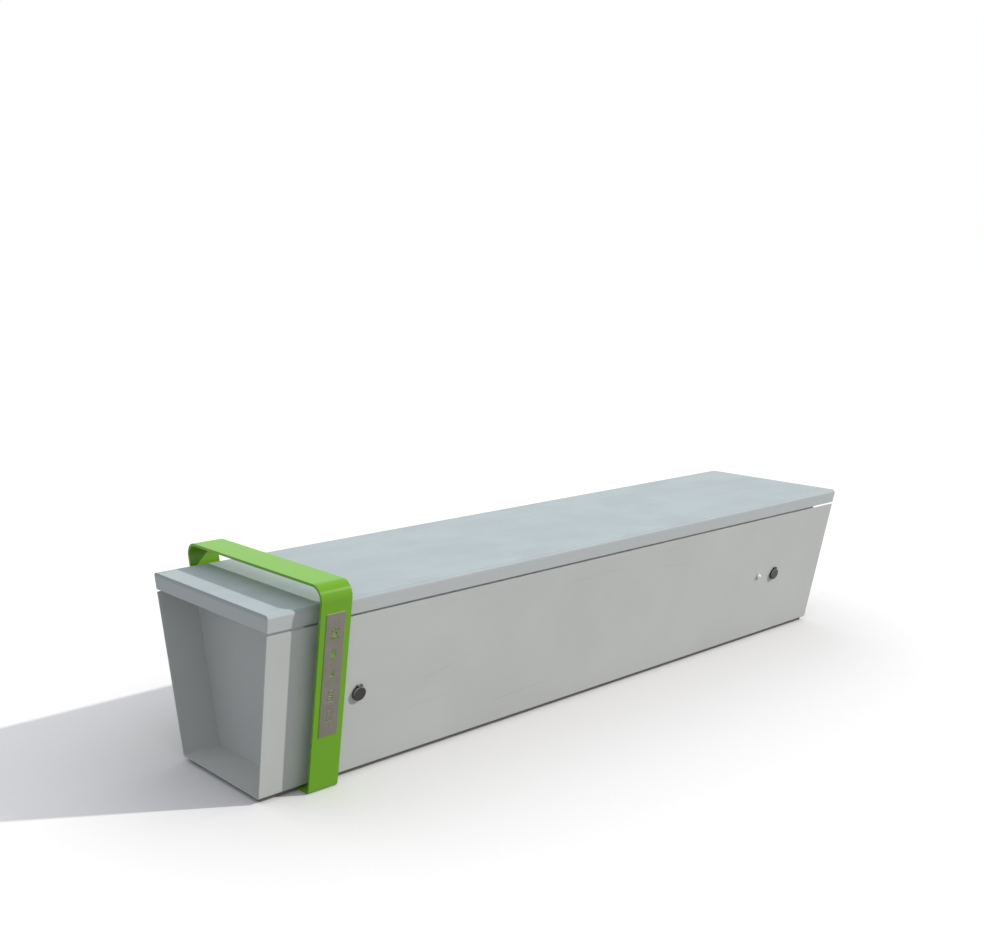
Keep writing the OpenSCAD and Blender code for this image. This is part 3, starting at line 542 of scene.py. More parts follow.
@dataclass(frozen=True)
class EtchedPlate(BrushedMetal):
    """The pictogram plate: an etched dull face, and bright bare metal with a painted highlight on the edges
    of its outline and signs.
    """

    # bare metal of the edges, lightened further as a painted highlight where light catches them
    bare_edge_and_highlight: Colour = rgb(0.62, 0.62, 0.58)
    cut_facing: Span = (0.8, 0.5)

    def surface(self, graph: Graph) -> dict[str, Value]:
        """Mixes the plate, with the lighter edges, bare metal and painted highlight, laid over its face.

        Args:
            graph: the material's tree.

        Returns:
            The values and links of the shader's sockets.
        """
        values = super().surface(graph)
        square_out = tuple(WALLS.at(Wall.FRONT, 0.0, 0.0).col[2][:3])
        normal = graph.node("ShaderNodeNewGeometry", out=3)
        sides = {0: normal, 1: square_out}
        facing = graph.node("ShaderNodeVectorMath", sides, out=1, operation="DOT_PRODUCT").size()
        bare_edge_and_highlight = graph.between(facing, *self.cut_facing)
        # lighter edges: bare metal and painted highlight
        values["Base Color"] = graph.mix(bare_edge_and_highlight, values["Base Color"], self.bare_edge_and_highlight)
        return values


@dataclass(frozen=True)
class ZincPlate(Finish):
    """Zinc-plated steel: small dull crystals that catch the light differently."""

    crystal_scale: float = 140.0
    bloom: Noise = Noise(14.0, 4.0, 0.6)
    tone: float = 0.82
    crystal_tone: float = 0.2
    bloom_tone: float = 0.16
    swing: float = 0.14
    depth: float = 0.03 * MM
    strength: float = 0.25
    edge: float = 0.4 * MM

    def surface(self, graph: Graph) -> dict[str, Value]:
        """Mixes the plating: crystals and bloom.

        Args:
            graph: the material's tree.

        Returns:
            The values and links of the shader's sockets.
        """
        place = graph.place()
        cells = graph.node("ShaderNodeTexVoronoi", {"Vector": place, "Scale": self.crystal_scale}, out=1)
        crystals = cells.parts()[0]
        tone = self.tone + crystals * self.crystal_tone + graph.noise(place, self.bloom) * self.bloom_tone
        return {
            "Base Color": graph.mix(1.0, self.colour, tone, Blending.MULTIPLY),
            "Metallic": 1.0,
            "Roughness": self.roughness + crystals * self.swing,
            "Normal": self.relief(graph, crystals),
        }


@dataclass(frozen=True)
class MouldedPlastic(Finish):
    """Moulded plastic with a spark-eroded skin and handling marks, and a painted glow where one is set."""

    skin: Noise = Noise(1200.0, 2.0, 0.6)
    marks: Noise = Noise(60.0, 4.0, 0.65)
    mark: float = 0.1
    swing: float = 0.16
    depth: float = 0.05 * MM
    strength: float = 0.4
    coat: float = 0.0
    # painted glow: a faint emission in the plastic's own colour, which brightens the part
    glow: float = 0.0

    def surface(self, graph: Graph) -> dict[str, Value]:
        """Mixes the plastic: skin and marks.

        Args:
            graph: the material's tree.

        Returns:
            The values and links of the shader's sockets.
        """
        place = graph.place()
        marks = graph.noise(place, self.marks)
        return {
            "Base Color": graph.toned(self.colour, marks, self.mark),
            "Roughness": self.roughness + marks.off_middle(self.swing),
            "Coat Weight": self.coat,
            "Emission Color": self.colour,
            "Emission Strength": self.glow,
            "Normal": self.relief(graph, graph.noise(place, self.skin)),
        }


@dataclass(frozen=True)
class PortPlastic(MouldedPlastic):
    """The ports' plastic, with a painted highlight on the upper chamfer of the flip covers, where the light
    catches them.
    """

    rim: Span = (16.2 * MM, 17.7 * MM)
    out: float = 5.4 * MM
    blur: float = 0.2 * MM
    upper: Span = (-8 * MM, 6 * MM)
    # painted highlight: the pale colour of the upper chamfer, where light catches it; the chamfer is
    # glossier there too
    chamfer_highlight_colour: Colour = rgb(0.24, 0.24, 0.23)
    chamfer_gloss: float = 0.12

    def surface(self, graph: Graph) -> dict[str, Value]:
        """Mixes the plastic, with the painted highlight on the upper chamfer laid over its colour.

        Args:
            graph: the material's tree.

        Returns:
            The values and links of the shader's sockets.
        """
        values = super().surface(graph)
        x, y, z = graph.place().parts()
        lean_cos, lean_sin = math.cos(WALLS.lean), math.sin(WALLS.lean)
        across = x.size() - PORT_X
        back, up = y + WALLS.half_width(PORT_Z), z - PORT_Z
        along = up * lean_cos - back * lean_sin
        proud = (back * lean_cos + up * lean_sin) * -1.0
        radius = (across * across + along * along).root()
        inner, outer = self.rim
        ring = graph.between(radius, inner - self.blur, inner)
        ring = ring * graph.between(radius, outer, outer + self.blur / 2, 1.0, 0.0)
        # painted highlight on the chamfer ring, out at the cover's face and on its upper side only
        chamfer_highlight = ring * graph.between(proud, self.out - self.blur, self.out)
        chamfer_highlight = chamfer_highlight * graph.between(along, *self.upper)
        values["Base Color"] = graph.mix(chamfer_highlight, values["Base Color"], self.chamfer_highlight_colour)
        values["Roughness"] = values["Roughness"] - chamfer_highlight * self.chamfer_gloss
        return values


@dataclass(frozen=True)
class Rubber(Finish):
    """Dull rubber with bloom and a faint pebble."""

    bloom: Noise = Noise(40.0, 4.0, 0.6)
    bloom_span: Span = (0.45, 0.75)
    bloom_share: float = 0.35
    bloom_colour: Colour = rgb(0.07, 0.07, 0.068)
    pebble: Noise = Noise(700.0)

    def surface(self, graph: Graph) -> dict[str, Value]:
        """Mixes the rubber: bloom and pebble.

        Args:
            graph: the material's tree.

        Returns:
            The values and links of the shader's sockets.
        """
        place = graph.place()
        bloom = graph.noise(place, self.bloom)
        bloomed = graph.between(bloom, *self.bloom_span, 0.0, self.bloom_share)
        return {
            "Base Color": graph.mix(bloomed, self.colour, self.bloom_colour),
            "Roughness": self.roughness + bloom.off_middle(self.swing),
            "Normal": self.relief(graph, graph.noise(place, self.pebble)),
        }


@dataclass(frozen=True)
class SealedBoard(Finish):
    """The seat's core of laid veneers: plies along the edge and long grain on the faces."""

    ply: float = 1.4 * MM
    grain: Noise = Noise(1.5, 5.0, 0.62, (3.0, 60.0, 8.0))
    dark: Colour = rgb(0.28, 0.17, 0.08)
    glue: Colour = rgb(0.22, 0.12, 0.05)
    glue_span: Span = (0.35, 0.65)
    glue_share: float = 0.35
    depth: float = 0.3 * MM
    edge: float = 0.6 * MM

    def surface(self, graph: Graph) -> dict[str, Value]:
        """Mixes the board: grain and lines of glue.

        Args:
            graph: the material's tree.

        Returns:
            The values and links of the shader's sockets.
        """
        place = graph.place()
        grain = graph.noise(place, self.grain)
        glue = graph.between((place.parts()[2] / self.ply).to_and_fro(1.0), *self.glue_span)
        wood = graph.mix(grain, self.colour, self.dark)
        return {
            "Base Color": graph.mix(glue * self.glue_share, wood, self.glue),
            "Roughness": self.roughness + grain.off_middle(self.swing),
            "Normal": self.relief(graph, grain),
        }


@dataclass(frozen=True)
class SolarCells(Finish):
    """Dark cells under glass, with gaps between them, fine fingers across and two bus bars along each."""

    cell: float = 66.5 * MM
    gap: Span = (0.012, 0.02)
    gap_colour: Colour = rgb(0.62, 0.64, 0.66)
    finger_pitch: float = 1.2 * MM
    finger: Span = (0.4, 0.46)
    finger_share: float = 0.25
    bus: Span = (0.47, 0.485)
    silver: Colour = rgb(0.4, 0.42, 0.45)
    tint: Noise = Noise(12.0)
    tint_colour: Colour = rgb(0.012, 0.03, 0.08)
    swing: float = 0.05
    glass_roughness: float = 0.03

    def surface(self, graph: Graph) -> dict[str, Value]:
        """Mixes the laminate: cells, fingers, bus bars and gaps.

        Args:
            graph: the material's tree.

        Returns:
            The values and links of the shader's sockets.
        """
        place = graph.place()
        x, y, _ = place.parts()
        gaps = [graph.between((axis / self.cell).to_and_fro(), *self.gap, 1.0, 0.0) for axis in (x, y)]
        fingers = graph.between((x / self.finger_pitch).to_and_fro(), *self.finger)
        buses = graph.between((y / (self.cell / 2.0)).to_and_fro(), *self.bus)
        tint = graph.noise(place, self.tint)
        cells = graph.mix(tint, self.colour, self.tint_colour)
        cells = graph.mix(fingers * self.finger_share + buses, cells, self.silver)
        return {
            "Base Color": graph.mix(gaps[0].most(gaps[1]), cells, self.gap_colour),
            "Roughness": self.roughness + tint * self.swing,
            "Coat Weight": 1.0,
            "Coat Roughness": self.glass_roughness,
        }


@dataclass(frozen=True)
class CableJacket(Finish):
    """A lead's soft jacket, faintly scuffed."""

    scuffs: Noise = Noise(90.0, 4.0, 0.7, (3.0, 1.0, 1.0))
    scuff_share: float = 0.2
    scuff_colour: Colour = rgb(0.12, 0.12, 0.12)
    swing: float = 0.25
    strength: float = 0.15
    edge: float = 0.2 * MM

    def surface(self, graph: Graph) -> dict[str, Value]:
        """Mixes the jacket: colour and scuffs.

        Args:
            graph: the material's tree.

        Returns:
            The values and links of the shader's sockets.
        """
        scuffs = graph.noise(graph.place(), self.scuffs)
        return {
            "Base Color": graph.mix(scuffs * self.scuff_share, self.colour, self.scuff_colour),
            "Roughness": self.roughness + scuffs.off_middle(self.swing),
            "Normal": self.relief(graph, scuffs),
        }


PAINT_GREY = rgb(0.548, 0.554, 0.535)
PAINT_GREEN = rgb(0.145, 0.345, 0.009)

FINISHES: dict[str, Finish] = {
    "shell_paint": PowderCoat("grey powder coat", PAINT_GREY, 0.5, scratches=Scratches()),
    "plinth_paint": PowderCoat("dark plinth paint", rgb(0.09, 0.09, 0.092), 0.55, dust=0.5),
    "zinc_steel": ZincPlate("zinc-plated steel", rgb(0.55, 0.56, 0.58), 0.36),
    "stainless": BrushedMetal("stainless steel", rgb(0.6, 0.59, 0.57), 0.28),
    "mill_aluminium": BrushedMetal("mill aluminium", rgb(0.72, 0.73, 0.74), 0.38, grain=Grain.ALONG_BENCH),
    "dark_aluminium": BrushedMetal("black anodised aluminium", rgb(0.03, 0.03, 0.033), 0.45, metallic=0.6),
    "brass": BrushedMetal("brass", rgb(0.72, 0.5, 0.2), 0.3),
    "seal_rubber": Rubber("seal rubber", rgb(0.5, 0.5, 0.5), 0.8),
    "core_board": SealedBoard("sealed core board", rgb(0.5, 0.34, 0.17), 0.6),
    "solar_laminate": SolarCells("solar laminate", rgb(0.01, 0.018, 0.06), 0.2),
    "seat_cover": LightPassingCover("light-passing seat cover", rgb(0.455, 0.514, 0.524), 0.64),
    "black_plastic": MouldedPlastic("black plastic", rgb(0.015, 0.015, 0.015), 0.5),
    "hoop_paint": PowderCoat(
        "green powder coat", PAINT_GREEN, 0.3, level=0.06, drift=0.015, dust=0.02, strength=0.02,
        lacquer=0.46, haze=0.56, haze_tint=rgb(0.31, 1.0, 0.03),
    ),
    "plate_steel": EtchedPlate(
        "etched plate", rgb(0.215, 0.196, 0.165), 0.5, metallic=0.45, grain=Grain.UP_THE_WALL,
    ),
    "port_plastic": PortPlastic("port plastic", rgb(0.018, 0.017, 0.013), 0.36, edge=0.6 * MM),
    # painted glow on the button's dome, which brightens it and lifts its shaded side
    "button_lens": MouldedPlastic(
        "button lens", rgb(0.93, 0.93, 0.92), 0.14, depth=0.01 * MM, coat=1.0, glow=0.06,
    ),
    "battery_case": MouldedPlastic("battery case", rgb(0.045, 0.05, 0.058), 0.55),
    "controller_plastic": MouldedPlastic("controller case", rgb(0.05, 0.13, 0.22), 0.45),
    "white_plastic": MouldedPlastic("white plastic", rgb(0.78, 0.78, 0.76), 0.45),
    "cable_black": CableJacket("black cable jacket", rgb(0.015, 0.015, 0.015), 0.55),
    "cable_red": CableJacket("red cable jacket", rgb(0.36, 0.015, 0.012), 0.5),
}


# Meshes


def on_circle(radius: float, angle: float, z: float) -> Vector:
    """A point at a radius and an angle round the Z axis."""
    return Vector((radius * math.cos(angle), radius * math.sin(angle), z))


@dataclass
class Piece:
    """A mesh in the bench's frame, gathered part by part and then made into one object."""

    name: str
    slot: str
    smooth: float = 35.0
    points: list[Vector] = field(default_factory=list)
    faces: list[tuple[int, ...]] = field(default_factory=list)

    def add(self, points: Iterable[Vector], faces: Iterable[Sequence[int]], at: Matrix) -> None:
        """Adds points and the faces between them.

        Args:
            points: the points, before they are moved into place.
            faces: each face as numbers of those points.
            at: where they go.
        """
        first = len(self.points)
        self.points += [at @ Vector(p) for p in points]
        self.faces += [tuple(first + i for i in face) for face in faces]

    def lathe(self, profile: Outline, sides: int, at: Matrix) -> None:
        """Turns a profile about the local Z, open at its first point and closed at its last.

        Args:
            profile: the radius and height of each point, from one end to the other.
            sides: how many steps go round.
            at: where the turned form goes.
        """
        count = len(profile)
        points = [on_circle(r, FULL_TURN * step / sides, z) for step in range(sides) for r, z in profile]
        faces: list[Sequence[int]] = []
        for step in range(sides):
            here, there = step * count, (step + 1) % sides * count
            faces += [(here + i, there + i, there + i + 1, here + i + 1) for i in range(count - 1)]
        faces.append([step * count + count - 1 for step in range(sides)])
        self.add(points, faces, at)

    def ring(self, outer: Outline, inner: Outline, low: float, high: float, at: Matrix) -> None:
        """A straight tube between two outlines with as many points each.

        Args:
            outer: the outside outline, anticlockwise.
            inner: the inside outline, anticlockwise.
            low: the tube's lower end.
            high: the tube's upper end.
            at: where it goes.
        """
        count = len(outer)
        points = [Vector((x, y, z)) for z in (low, high) for x, y in outer + inner]
        faces = []
        for i in range(count):
            j = (i + 1) % count
            faces.append((i, j, 2 * count + j, 2 * count + i))
            faces.append((count + j, count + i, 3 * count + i, 3 * count + j))
            faces.append((j, i, count + i, count + j))
            faces.append((2 * count + i, 2 * count + j, 3 * count + j, 3 * count + i))
        self.add(points, faces, at)

    def block(self, low: Point, high: Point, ease: float, at: Matrix) -> None:
        """A closed box with eased edges.

        Args:
            low: the lowest corner.
            high: the highest corner.
            ease: the width of the chamfer on every edge.
            at: where it goes.
        """
        made = bmesh.new()
        bmesh.ops.create_cube(made, size=1.0)
        for vert in made.verts:
            vert.co = Vector([low[i] + (vert.co[i] + 0.5) * (high[i] - low[i]) for i in range(3)])
        bmesh.ops.bevel(made, geom=list(made.edges), offset=ease, segments=2, profile=0.5, affect="EDGES")
        made.verts.index_update()
        self.add([v.co.copy() for v in made.verts], [[v.index for v in f.verts] for f in made.faces], at)
        made.free()

    def build(self, body: str, replaced: Sequence[str] = ()) -> None:
        """Makes the object, gives it its finish and lets it ride on its body.

        Args:
            body: the body that it moves with.
            replaced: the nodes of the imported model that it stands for.
        """
        mesh = bpy.data.meshes.new(self.name)
        mesh.from_pydata([tuple(p) for p in self.points], [], self.faces)
        mesh.validate()
        made = bmesh.new()
        made.from_mesh(mesh)
        bmesh.ops.remove_doubles(made, verts=made.verts, dist=MERGE_DISTANCE)
        bmesh.ops.recalc_face_normals(made, faces=made.faces)
        made.to_mesh(mesh)
        made.free()
        mesh.shade_smooth()
        mesh.set_sharp_from_angle(angle=math.radians(self.smooth))
        piece = bpy.data.objects.new(self.name, mesh)
        bpy.context.scene.collection.objects.link(piece)
        piece.data.materials.append(MATERIALS[self.slot])
        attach(piece, body)
        if replaced:
            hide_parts(*replaced)
        LOG.info("built %s with %d faces", self.name, len(mesh.polygons))


MATERIALS: dict[str, bpy.types.Material] = {}


def round_box(width: float, height: float, radius: float, steps: int = 4) -> Outline:
    """A rounded rectangle round the origin, anticlockwise.

    Args:
        width: its size along X.
        height: its size along Y.
        radius: the radius of its corners.
        steps: the steps round each corner.

    Returns:
        The points of the outline.
    """
    outline: Outline = []
    corners = ((1, 1, 0), (-1, 1, 1), (-1, -1, 2), (1, -1, 3))
    for sx, sy, quarter in corners:
        for i in range(steps + 1):
            angle = (quarter + i / steps) * FULL_TURN / 4
            outline.append((
                sx * (width / 2 - radius) + radius * math.cos(angle),
                sy * (height / 2 - radius) + radius * math.sin(angle),
            ))
    return outline


# The bench


class Wall(Enum):
    """The two long walls, by the side of the bench that they face."""

    FRONT = -1
    REAR = 1


@dataclass(frozen=True)
class Walls:
    """The leaning long walls, which all fittings are set out from."""

    base_width: float = 333 * MM
    lean: float = math.radians(10.2)
    plinth: float = 11 * MM

    def half_width(self, z: float) -> float:
        """Half of the bench's width at a height."""
        return self.base_width / 2 + (z - self.plinth) * math.tan(self.lean)

    def at(self, wall: Wall, x: float, z: float) -> Matrix:
        """A frame on a wall's face, with Z square out of the wall and Y up the wall.

        Args:
            wall: which wall.
            x: the place along the bench.
            z: the height.

        Returns:
            The frame's matrix.
        """
        turn = Matrix.Rotation(math.pi / 2 + self.lean, 4, "X")
        front = Matrix.Translation((x, -self.half_width(z), z)) @ turn
        return front if wall is Wall.FRONT else Matrix.Scale(-1.0, 4, (0.0, 1.0, 0.0)) @ front


WALLS = Walls()


@dataclass
class StarScrews:
    """Countersunk screws with a star recess and a rolled thread."""

    name: str
    stands_for: str
    places: list[Matrix]
    length: float
    head_r: float = 4.6 * MM
    head_h: float = 2.1 * MM
    rim_chamfer: float = 0.1 * MM
    rim_land: float = 0.2 * MM
    shank_r: float = 2.5 * MM
    pitch: float = 0.8 * MM
    thread_depth: float = 0.35 * MM
    tip_taper: float = 0.3 * MM
    recess_r: float = 1.75 * MM
    recess_depth: float = 1.3 * MM
    recess_rings: tuple[Span, ...] = ((0.0, 1.0), (0.85, 0.96), (1.0, 0.6))
    lobes: int = 6
    lobe: float = 0.14
    sides: int = 36

    def _profile(self) -> Outline:
        """The head's cone, the shank and its thread.

        Returns:
            The profile, from the head's flat top to the tip.
        """
        profile = [
            (self.head_r - self.rim_chamfer, 0.0), (self.head_r, 0.0),
            (self.head_r, -self.rim_land), (self.shank_r, -self.head_h),
        ]
        z = -self.head_h - self.pitch
        while z > -self.length + 2 * self.pitch:
            profile += [(self.shank_r, z), (self.shank_r - self.thread_depth, z - self.pitch / 2)]
            z -= self.pitch
        profile.append((self.shank_r - self.tip_taper, -self.length + self.pitch))
        return profile + [(self.shank_r / 2, -self.length)]

    def _star(self, z: float, shrink: float) -> list[Vector]:
        """The recess's outline at a depth.

        Args:
            z: the height that it is at.
            shrink: its size as a share of the recess's.

        Returns:
            The points of the outline.
        """
        outline = []
        for step in range(self.sides):
            angle = FULL_TURN * step / self.sides
            r = shrink * self.recess_r * (1.0 + self.lobe * math.cos(self.lobes * angle))
            outline.append(on_circle(r, angle, z))
        return outline

    def build(self) -> None:
        """Makes every screw in one piece that stands for the plain ones."""
        profile, n = self._profile(), self.sides
        points = [on_circle(profile[0][0], FULL_TURN * i / n, 0.0) for i in range(n)]
        faces: list[Sequence[int]] = []
        for level, (depth, shrink) in enumerate(self.recess_rings):
            points += self._star(-self.recess_depth * depth, shrink)
            for i in range(n):
                j = (i + 1) % n
                faces.append((level * n + i, level * n + j, (level + 1) * n + j, (level + 1) * n + i))
        faces.append([len(self.recess_rings) * n + i for i in range(n)])
        piece = Piece(self.name, "stainless", smooth=28.0)
        for at in self.places:
            piece.lathe(profile, n, at)
            piece.add(points, faces, at)
        piece.build("bench", [self.stands_for])


@dataclass
class Trough:
    """The shell with its end panels and plinth, whose screws get their recesses and threads."""

    half_length: float = 1053 * MM
    recess: float = 96 * MM
    flange: float = 25 * MM
    screw_y: float = 60 * MM
    screw_length: float = 10 * MM

    def build(self) -> None:
        """Makes the screws under the end panels."""
        x = self.half_length - self.recess - self.flange / 2
        down = Matrix.Rotation(math.pi, 4, "X")
        places = [
            Matrix.Translation((sx * x, sy * self.screw_y, WALLS.plinth)) @ down
            for sx in (-1, 1) for sy in (-1, 1)
        ]
        StarScrews("end_panel_star_screws", "end_panel_screws", places, self.screw_length).build()


@dataclass
class ServiceOpening:
    """The screwed panel in the rear wall."""

    length: float = 420 * MM
    height: float = 240 * MM
    gap: float = 1.5 * MM
    inset: float = 10 * MM
    z: float = 209.5 * MM
    screw_length: float = 12 * MM

    def build(self) -> None:
        """Makes the panel's eight screws."""
        out_x = self.length / 2 - self.gap - self.inset
        out_y = self.height / 2 - self.gap - self.inset
        places = [
            WALLS.at(Wall.REAR, sx * out_x, self.z) @ Matrix.Translation((0.0, sy * out_y, 0.0))
            for sx in (-1, 0, 1) for sy in (-1, 0, 1) if sx or sy
        ]
        StarScrews("service_star_screws", "service_screws", places, self.screw_length).build()


@dataclass
class Hoop:
    """The bent hoop, whose bosses are welded on."""

    x: float = -904.5 * MM
    clear: float = 26 * MM
    boss_r: float = 12 * MM
    heights: tuple[float, float] = (121 * MM, 349 * MM)
    leg: float = 3.2 * MM
    overlap: float = 0.5 * MM
    arc_steps: int = 6
    sides: int = 104
    # the share of the radius, the number round the boss and the phase of each ripple
    ripples: tuple[tuple[float, int, float], ...] = ((0.012, 26, 0.0), (0.006, 7, 1.0))

    def _bead(self, angle: float) -> Outline:
        """The bead's closed profile at an angle round the boss.

        Args:
            angle: the angle.

        Returns:
            Two points inside the hoop, the rippled hollow face and one point inside the boss.
        """
        waves = [share * math.cos(count * angle + phase) for share, count, phase in self.ripples]
        swell = sum(waves, 1.0)
        turns = [math.pi / 2 * i / self.arc_steps for i in range(self.arc_steps + 1)]
        face = [
            (self.boss_r + self.leg * (1 - math.sin(turn)), self.clear - self.leg * (1 - math.cos(turn)))
            for turn in turns
        ]
        root, back = self.boss_r - self.overlap, self.clear + self.overlap
        return [(root, back), (face[0][0], back), *((r * swell, z) for r, z in face), (root, face[-1][1])]

    def build(self) -> None:
        """Makes the weld bead round each boss, with the ripples that a welder leaves."""
        angles = [FULL_TURN * step / self.sides for step in range(self.sides)]
        points = [on_circle(r, angle, z) for angle in angles for r, z in self._bead(angle)]
        count = len(points) // self.sides
        faces = []
        for step in range(self.sides):
            here, there = step * count, (step + 1) % self.sides * count
            for i in range(count):
                k = (i + 1) % count
                faces.append((here + i, there + i, there + k, here + k))
        beads = Piece("boss_welds", "hoop_paint", smooth=60.0)
        for wall in Wall:
            for z in self.heights:
                beads.add(points, faces, WALLS.at(wall, self.x, z))
        beads.build("bench")


@dataclass(frozen=True)
class Socket:
    """One socket of a charging port, in the port's own frame."""

    width: float
    height: float
    y: float
    depth: float
    corner: float


@dataclass(frozen=True)
class Tabs:
    """A row of flat bars in a socket, from a back to a front that are measured behind its face."""

    count: int
    pitch: float
    half_width: float
    back: float
    front: float
    ease: float


@dataclass
class ChargingPort:
    """The inside of one charging port: shells and contacts of two sockets, and the small one's tongue."""

    side: str
    x: float
    z: float = PORT_Z
    face: float = -2 * MM
    wide: Socket = Socket(12.5 * MM, 5.0 * MM, 3.4 * MM, 11.5 * MM, 0.35 * MM)
    small: Socket = Socket(9.0 * MM, 3.2 * MM, -4.6 * MM, 9.5 * MM, 1.35 * MM)
    fit: float = 0.06 * MM
    metal: float = 0.3 * MM
    proud: float = 0.15 * MM
    least_corner: float = 0.1 * MM
    tongue: Tabs = Tabs(1, 0.0, 3.1 * MM, 9.6 * MM, 1.4 * MM, 0.12 * MM)
    tongue_half: float = 0.35 * MM
    small_contacts: Tabs = Tabs(6, 0.95 * MM, 0.24 * MM, 7.0 * MM, 1.8 * MM, 0.02 * MM)
    small_contact_out: float = 0.41 * MM
    wide_contacts: Tabs = Tabs(4, 2.3 * MM, 0.5 * MM, 9.5 * MM, 4.0 * MM, 0.04 * MM)
    wide_contact_t: float = 0.12 * MM
    wide_contact_y: float = 3.6 * MM

    def _row(self, piece: Piece, tabs: Tabs, low: float, high: float, at: Matrix) -> None:
        """Adds a row of flat bars to a piece.

        Args:
            piece: the piece.
            tabs: the row.
            low: where the bars' lower faces are.
            high: where their upper faces are.
            at: the frame of their socket.
        """
        for i in range(tabs.count):
            x = (i - (tabs.count - 1) / 2) * tabs.pitch
            corner = (x - tabs.half_width, low, self.face - tabs.back)
            piece.block(corner, (x + tabs.half_width, high, self.face - tabs.front), tabs.ease, at)

    def build(self) -> None:
        """Makes the sockets' shells, the small tongue and all contacts."""
        wall = WALLS.at(Wall.FRONT, self.x, self.z)
        shells = Piece(f"socket_shells_{self.side}", "stainless", smooth=40.0)
        for socket in (self.wide, self.small):
            w, h = socket.width - 2 * self.fit, socket.height - 2 * self.fit
            outer = round_box(w, h, socket.corner)
            corner = max(socket.corner - self.metal, self.least_corner)
            inner = round_box(w - 2 * self.metal, h - 2 * self.metal, corner)
            at = wall @ Matrix.Translation((0.0, socket.y, 0.0))
            shells.ring(outer, inner, self.face - socket.depth, self.face + self.proud, at)
        shells.build("bench")
        small_at = wall @ Matrix.Translation((0.0, self.small.y, 0.0))
        wide_at = wall @ Matrix.Translation((0.0, self.wide_contact_y, 0.0))
        tongue = Piece(f"small_tongue_{self.side}", "black_plastic")
        self._row(tongue, self.tongue, -self.tongue_half, self.tongue_half, small_at)
        tongue.build("bench")
        contacts = Piece(f"socket_contacts_{self.side}", "brass")
        self._row(contacts, self.small_contacts, -self.small_contact_out, -self.tongue_half, small_at)
        self._row(contacts, self.small_contacts, self.tongue_half, self.small_contact_out, small_at)
        self._row(contacts, self.wide_contacts, -self.wide_contact_t, 0.0, wide_at)
        contacts.build("bench")


@dataclass
class Bench:
    """The whole bench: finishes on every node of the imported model, then the fine pieces."""

    trough: Trough = field(default_factory=Trough)
    service: ServiceOpening = field(default_factory=ServiceOpening)
    hoop: Hoop = field(default_factory=Hoop)
    ports: tuple[ChargingPort, ...] = (ChargingPort("near", -PORT_X), ChargingPort("far", PORT_X))

    def dress(self) -> None:
        """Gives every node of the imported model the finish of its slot."""
        for slot, finish in FINISHES.items():
            MATERIALS[slot] = finish.make()
        for part in frame["record"]["subparts"]:
            node = frame["nodes"][part["node"]]
            node.data.materials.clear()
            node.data.materials.append(MATERIALS[part["material_slot"]])
            LOG.info("dressed %s in %s", node.name, part["material_slot"])

    def build(self) -> None:
        """Dresses the nodes and makes the fine pieces of each sub-assembly."""
        self.dress()
        self.trough.build()
        self.service.build()
        self.hoop.build()
        for port in self.ports:
            port.build()


# Light, floor and camera


@dataclass(frozen=True)
class Camera:
    """The camera, fitted to the edges of the bench in the photograph."""

    place: Point = (-2.304536, -2.292003, 1.155212)
    yaw: float = 0.746036
    pitch: float = 0.286772
    roll: float = 0.003137
    focal: float = 1199.725
    centre: tuple[float, float] = (497.561, 611.952)
    frame: tuple[float, float] = (984.0, 944.0)
    sensor: float = 36.0

    def build(self) -> None:
        """Makes the camera and hands it to the scene."""
        level = math.cos(self.pitch)
        ahead = Vector((math.sin(self.yaw) * level, math.cos(self.yaw) * level, -math.sin(self.pitch)))
        right = Vector((math.cos(self.yaw), -math.sin(self.yaw), 0.0))
        up = right.cross(ahead)
        turned = right * math.cos(self.roll) + up * math.sin(self.roll)
        up = up * math.cos(self.roll) - right * math.sin(self.roll)
        data = bpy.data.cameras.new("camera")
        data.sensor_fit = "HORIZONTAL"
        data.sensor_width = self.sensor
        data.lens = self.focal / self.frame[0] * self.sensor
        data.shift_x = (self.frame[0] / 2 - self.centre[0]) / self.frame[0]
        data.shift_y = (self.centre[1] - self.frame[1] / 2) / self.frame[0]
        camera = bpy.data.objects.new("camera", data)
        camera.matrix_world = Matrix((
            (turned.x, up.x, -ahead.x, self.place[0]),
            (turned.y, up.y, -ahead.y, self.place[1]),
            (turned.z, up.z, -ahead.z, self.place[2]),
            (0.0, 0.0, 0.0, 1.0),
        ))
        bpy.context.scene.collection.objects.link(camera)
        bpy.context.scene.camera = camera
        LOG.info("camera at %s", self.place)


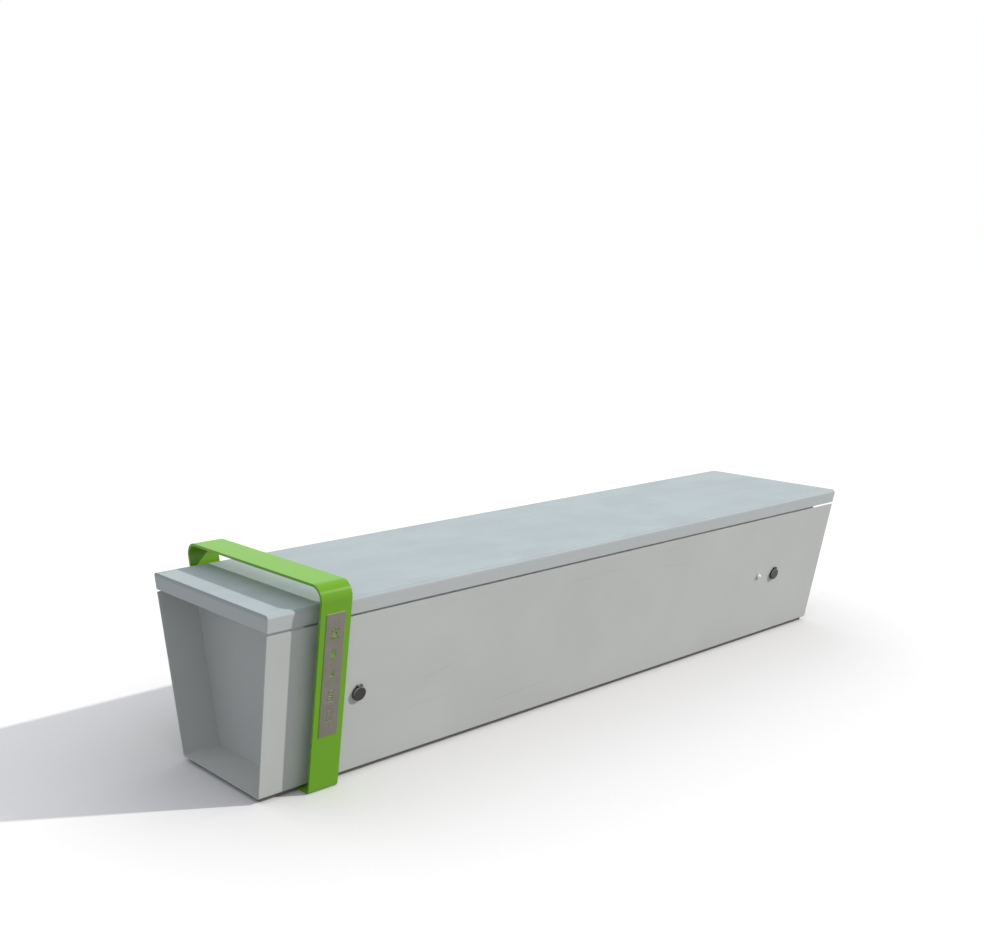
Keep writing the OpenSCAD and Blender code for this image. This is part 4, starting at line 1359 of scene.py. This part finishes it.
@dataclass(frozen=True)
class Studio:
    """A sun, a soft sky and a pale floor."""

    sun_heading: Point = (-1.17, 0.95, -1.0)
    sun_strength: float = 2.5
    sun_angle: float = math.radians(1.3)
    sun_colour: tuple[float, float, float] = (1.0, 0.99, 0.965)
    sky_open: Colour = rgb(0.51, 0.52, 0.53)
    sky_left: Colour = rgb(0.45, 0.505, 0.565)
    sky_top: Colour = rgb(0.69, 0.72, 0.77)
    left_span: Span = (0.2, -0.9)
    low_span: Span = (0.75, 0.25)
    top_span: Span = (0.2, 0.9)
    floor_size: float = 120.0
    floor_near: Colour = rgb(0.735, 0.722, 0.713)
    floor_far: Colour = rgb(0.88, 0.852, 0.835)
    floor_bounce: Colour = rgb(0.33, 0.33, 0.33)
    floor_glow: float = 0.18
    floor_reach: float = 2.0
    floor_shut: float = 0.3
    floor_samples: int = 12

    def _seen(self, graph: Graph) -> Shade:
        """Tells which rays show the background: from the camera, in gloss and through glass.

        Args:
            graph: the tree that the test is added to.

        Returns:
            1 for those rays and 0 for others.
        """
        path = graph.node("ShaderNodeLightPath").socket.node
        camera, glossy, through = (Shade(graph, path.outputs[n]) for n in (
            "Is Camera Ray", "Is Glossy Ray", "Is Transmission Ray"
        ))
        return camera.most(glossy).most(through)

    def sky(self) -> None:
        """Lights the world, brighter overhead, and bluer low down on the side of the near end."""
        world = bpy.data.worlds.new("sky")
        bpy.context.scene.world = world
        world.use_nodes = True
        graph = Graph(world.node_tree)
        across, _, up = graph.node("ShaderNodeTexCoord").parts()
        low_left = graph.between(across, *self.left_span) * graph.between(up, *self.low_span)
        colour = graph.mix(graph.between(up, *self.top_span), self.sky_open, self.sky_top)
        colour = graph.mix(low_left, colour, self.sky_left)
        soft = graph.node("ShaderNodeBackground", {"Color": colour, "Strength": 1.0})
        white = graph.node("ShaderNodeBackground", {"Color": WHITE, "Strength": 1.0})
        both = graph.node("ShaderNodeMixShader", {0: self._seen(graph), 1: soft, 2: white})
        graph.node("ShaderNodeOutputWorld", {"Surface": both})

    def sun(self) -> None:
        """Adds the sun, in the direction that the hoop's shadow gives."""
        data = bpy.data.lights.new("sun", "SUN")
        data.energy = self.sun_strength
        data.angle = self.sun_angle
        data.color = self.sun_colour
        lamp = bpy.data.objects.new("sun", data)
        lamp.rotation_mode = "QUATERNION"
        lamp.rotation_quaternion = Vector(self.sun_heading).to_track_quat("-Z", "Y")
        bpy.context.scene.collection.objects.link(lamp)

    def floor(self) -> None:
        """Lays the floor: white far off, greyer where the bench shuts out the sky, dim in bounced light."""
        half = self.floor_size / 2
        corners = [(-half, -half, 0.0), (half, -half, 0.0), (half, half, 0.0), (-half, half, 0.0)]
        mesh = bpy.data.meshes.new("floor")
        mesh.from_pydata(corners, [], [(0, 1, 2, 3)])
        material = bpy.data.materials.new("pale floor")
        material.use_nodes = True
        graph = Graph(material.node_tree)
        seen = self._seen(graph)
        open_sky = graph.node(
            "ShaderNodeAmbientOcclusion", {"Distance": self.floor_reach}, out=1, samples=self.floor_samples
        )
        clear = ((open_sky - self.floor_shut) / (1.0 - self.floor_shut)).most(0.0)
        shown = graph.mix(clear, self.floor_near, self.floor_far)
        glowing = seen * (clear * clear * clear * clear) * self.floor_glow
        tone = graph.mix(seen, self.floor_bounce, shown)
        matt = graph.node("ShaderNodeBsdfDiffuse", {"Color": tone, "Roughness": 0.0})
        glow = graph.node("ShaderNodeEmission", {"Color": WHITE, "Strength": glowing})
        both = graph.node("ShaderNodeAddShader", {0: matt, 1: glow})
        graph.node("ShaderNodeOutputMaterial", {"Surface": both})
        mesh.materials.append(material)
        floor = bpy.data.objects.new("floor", mesh)
        bpy.context.scene.collection.objects.link(floor)

    def build(self) -> None:
        """Sets the plain view and makes sky, sun and floor."""
        bpy.context.scene.view_settings.view_transform = "Standard"
        self.sky()
        self.sun()
        self.floor()
        LOG.info("studio lit")


def main() -> None:
    """Builds the camera, the light and the bench, in that order."""
    logging.basicConfig(level=logging.INFO, format="%(name)s: %(message)s")
    Camera().build()
    Studio().build()
    Bench().build()


if __name__ == "__main__":
    main()
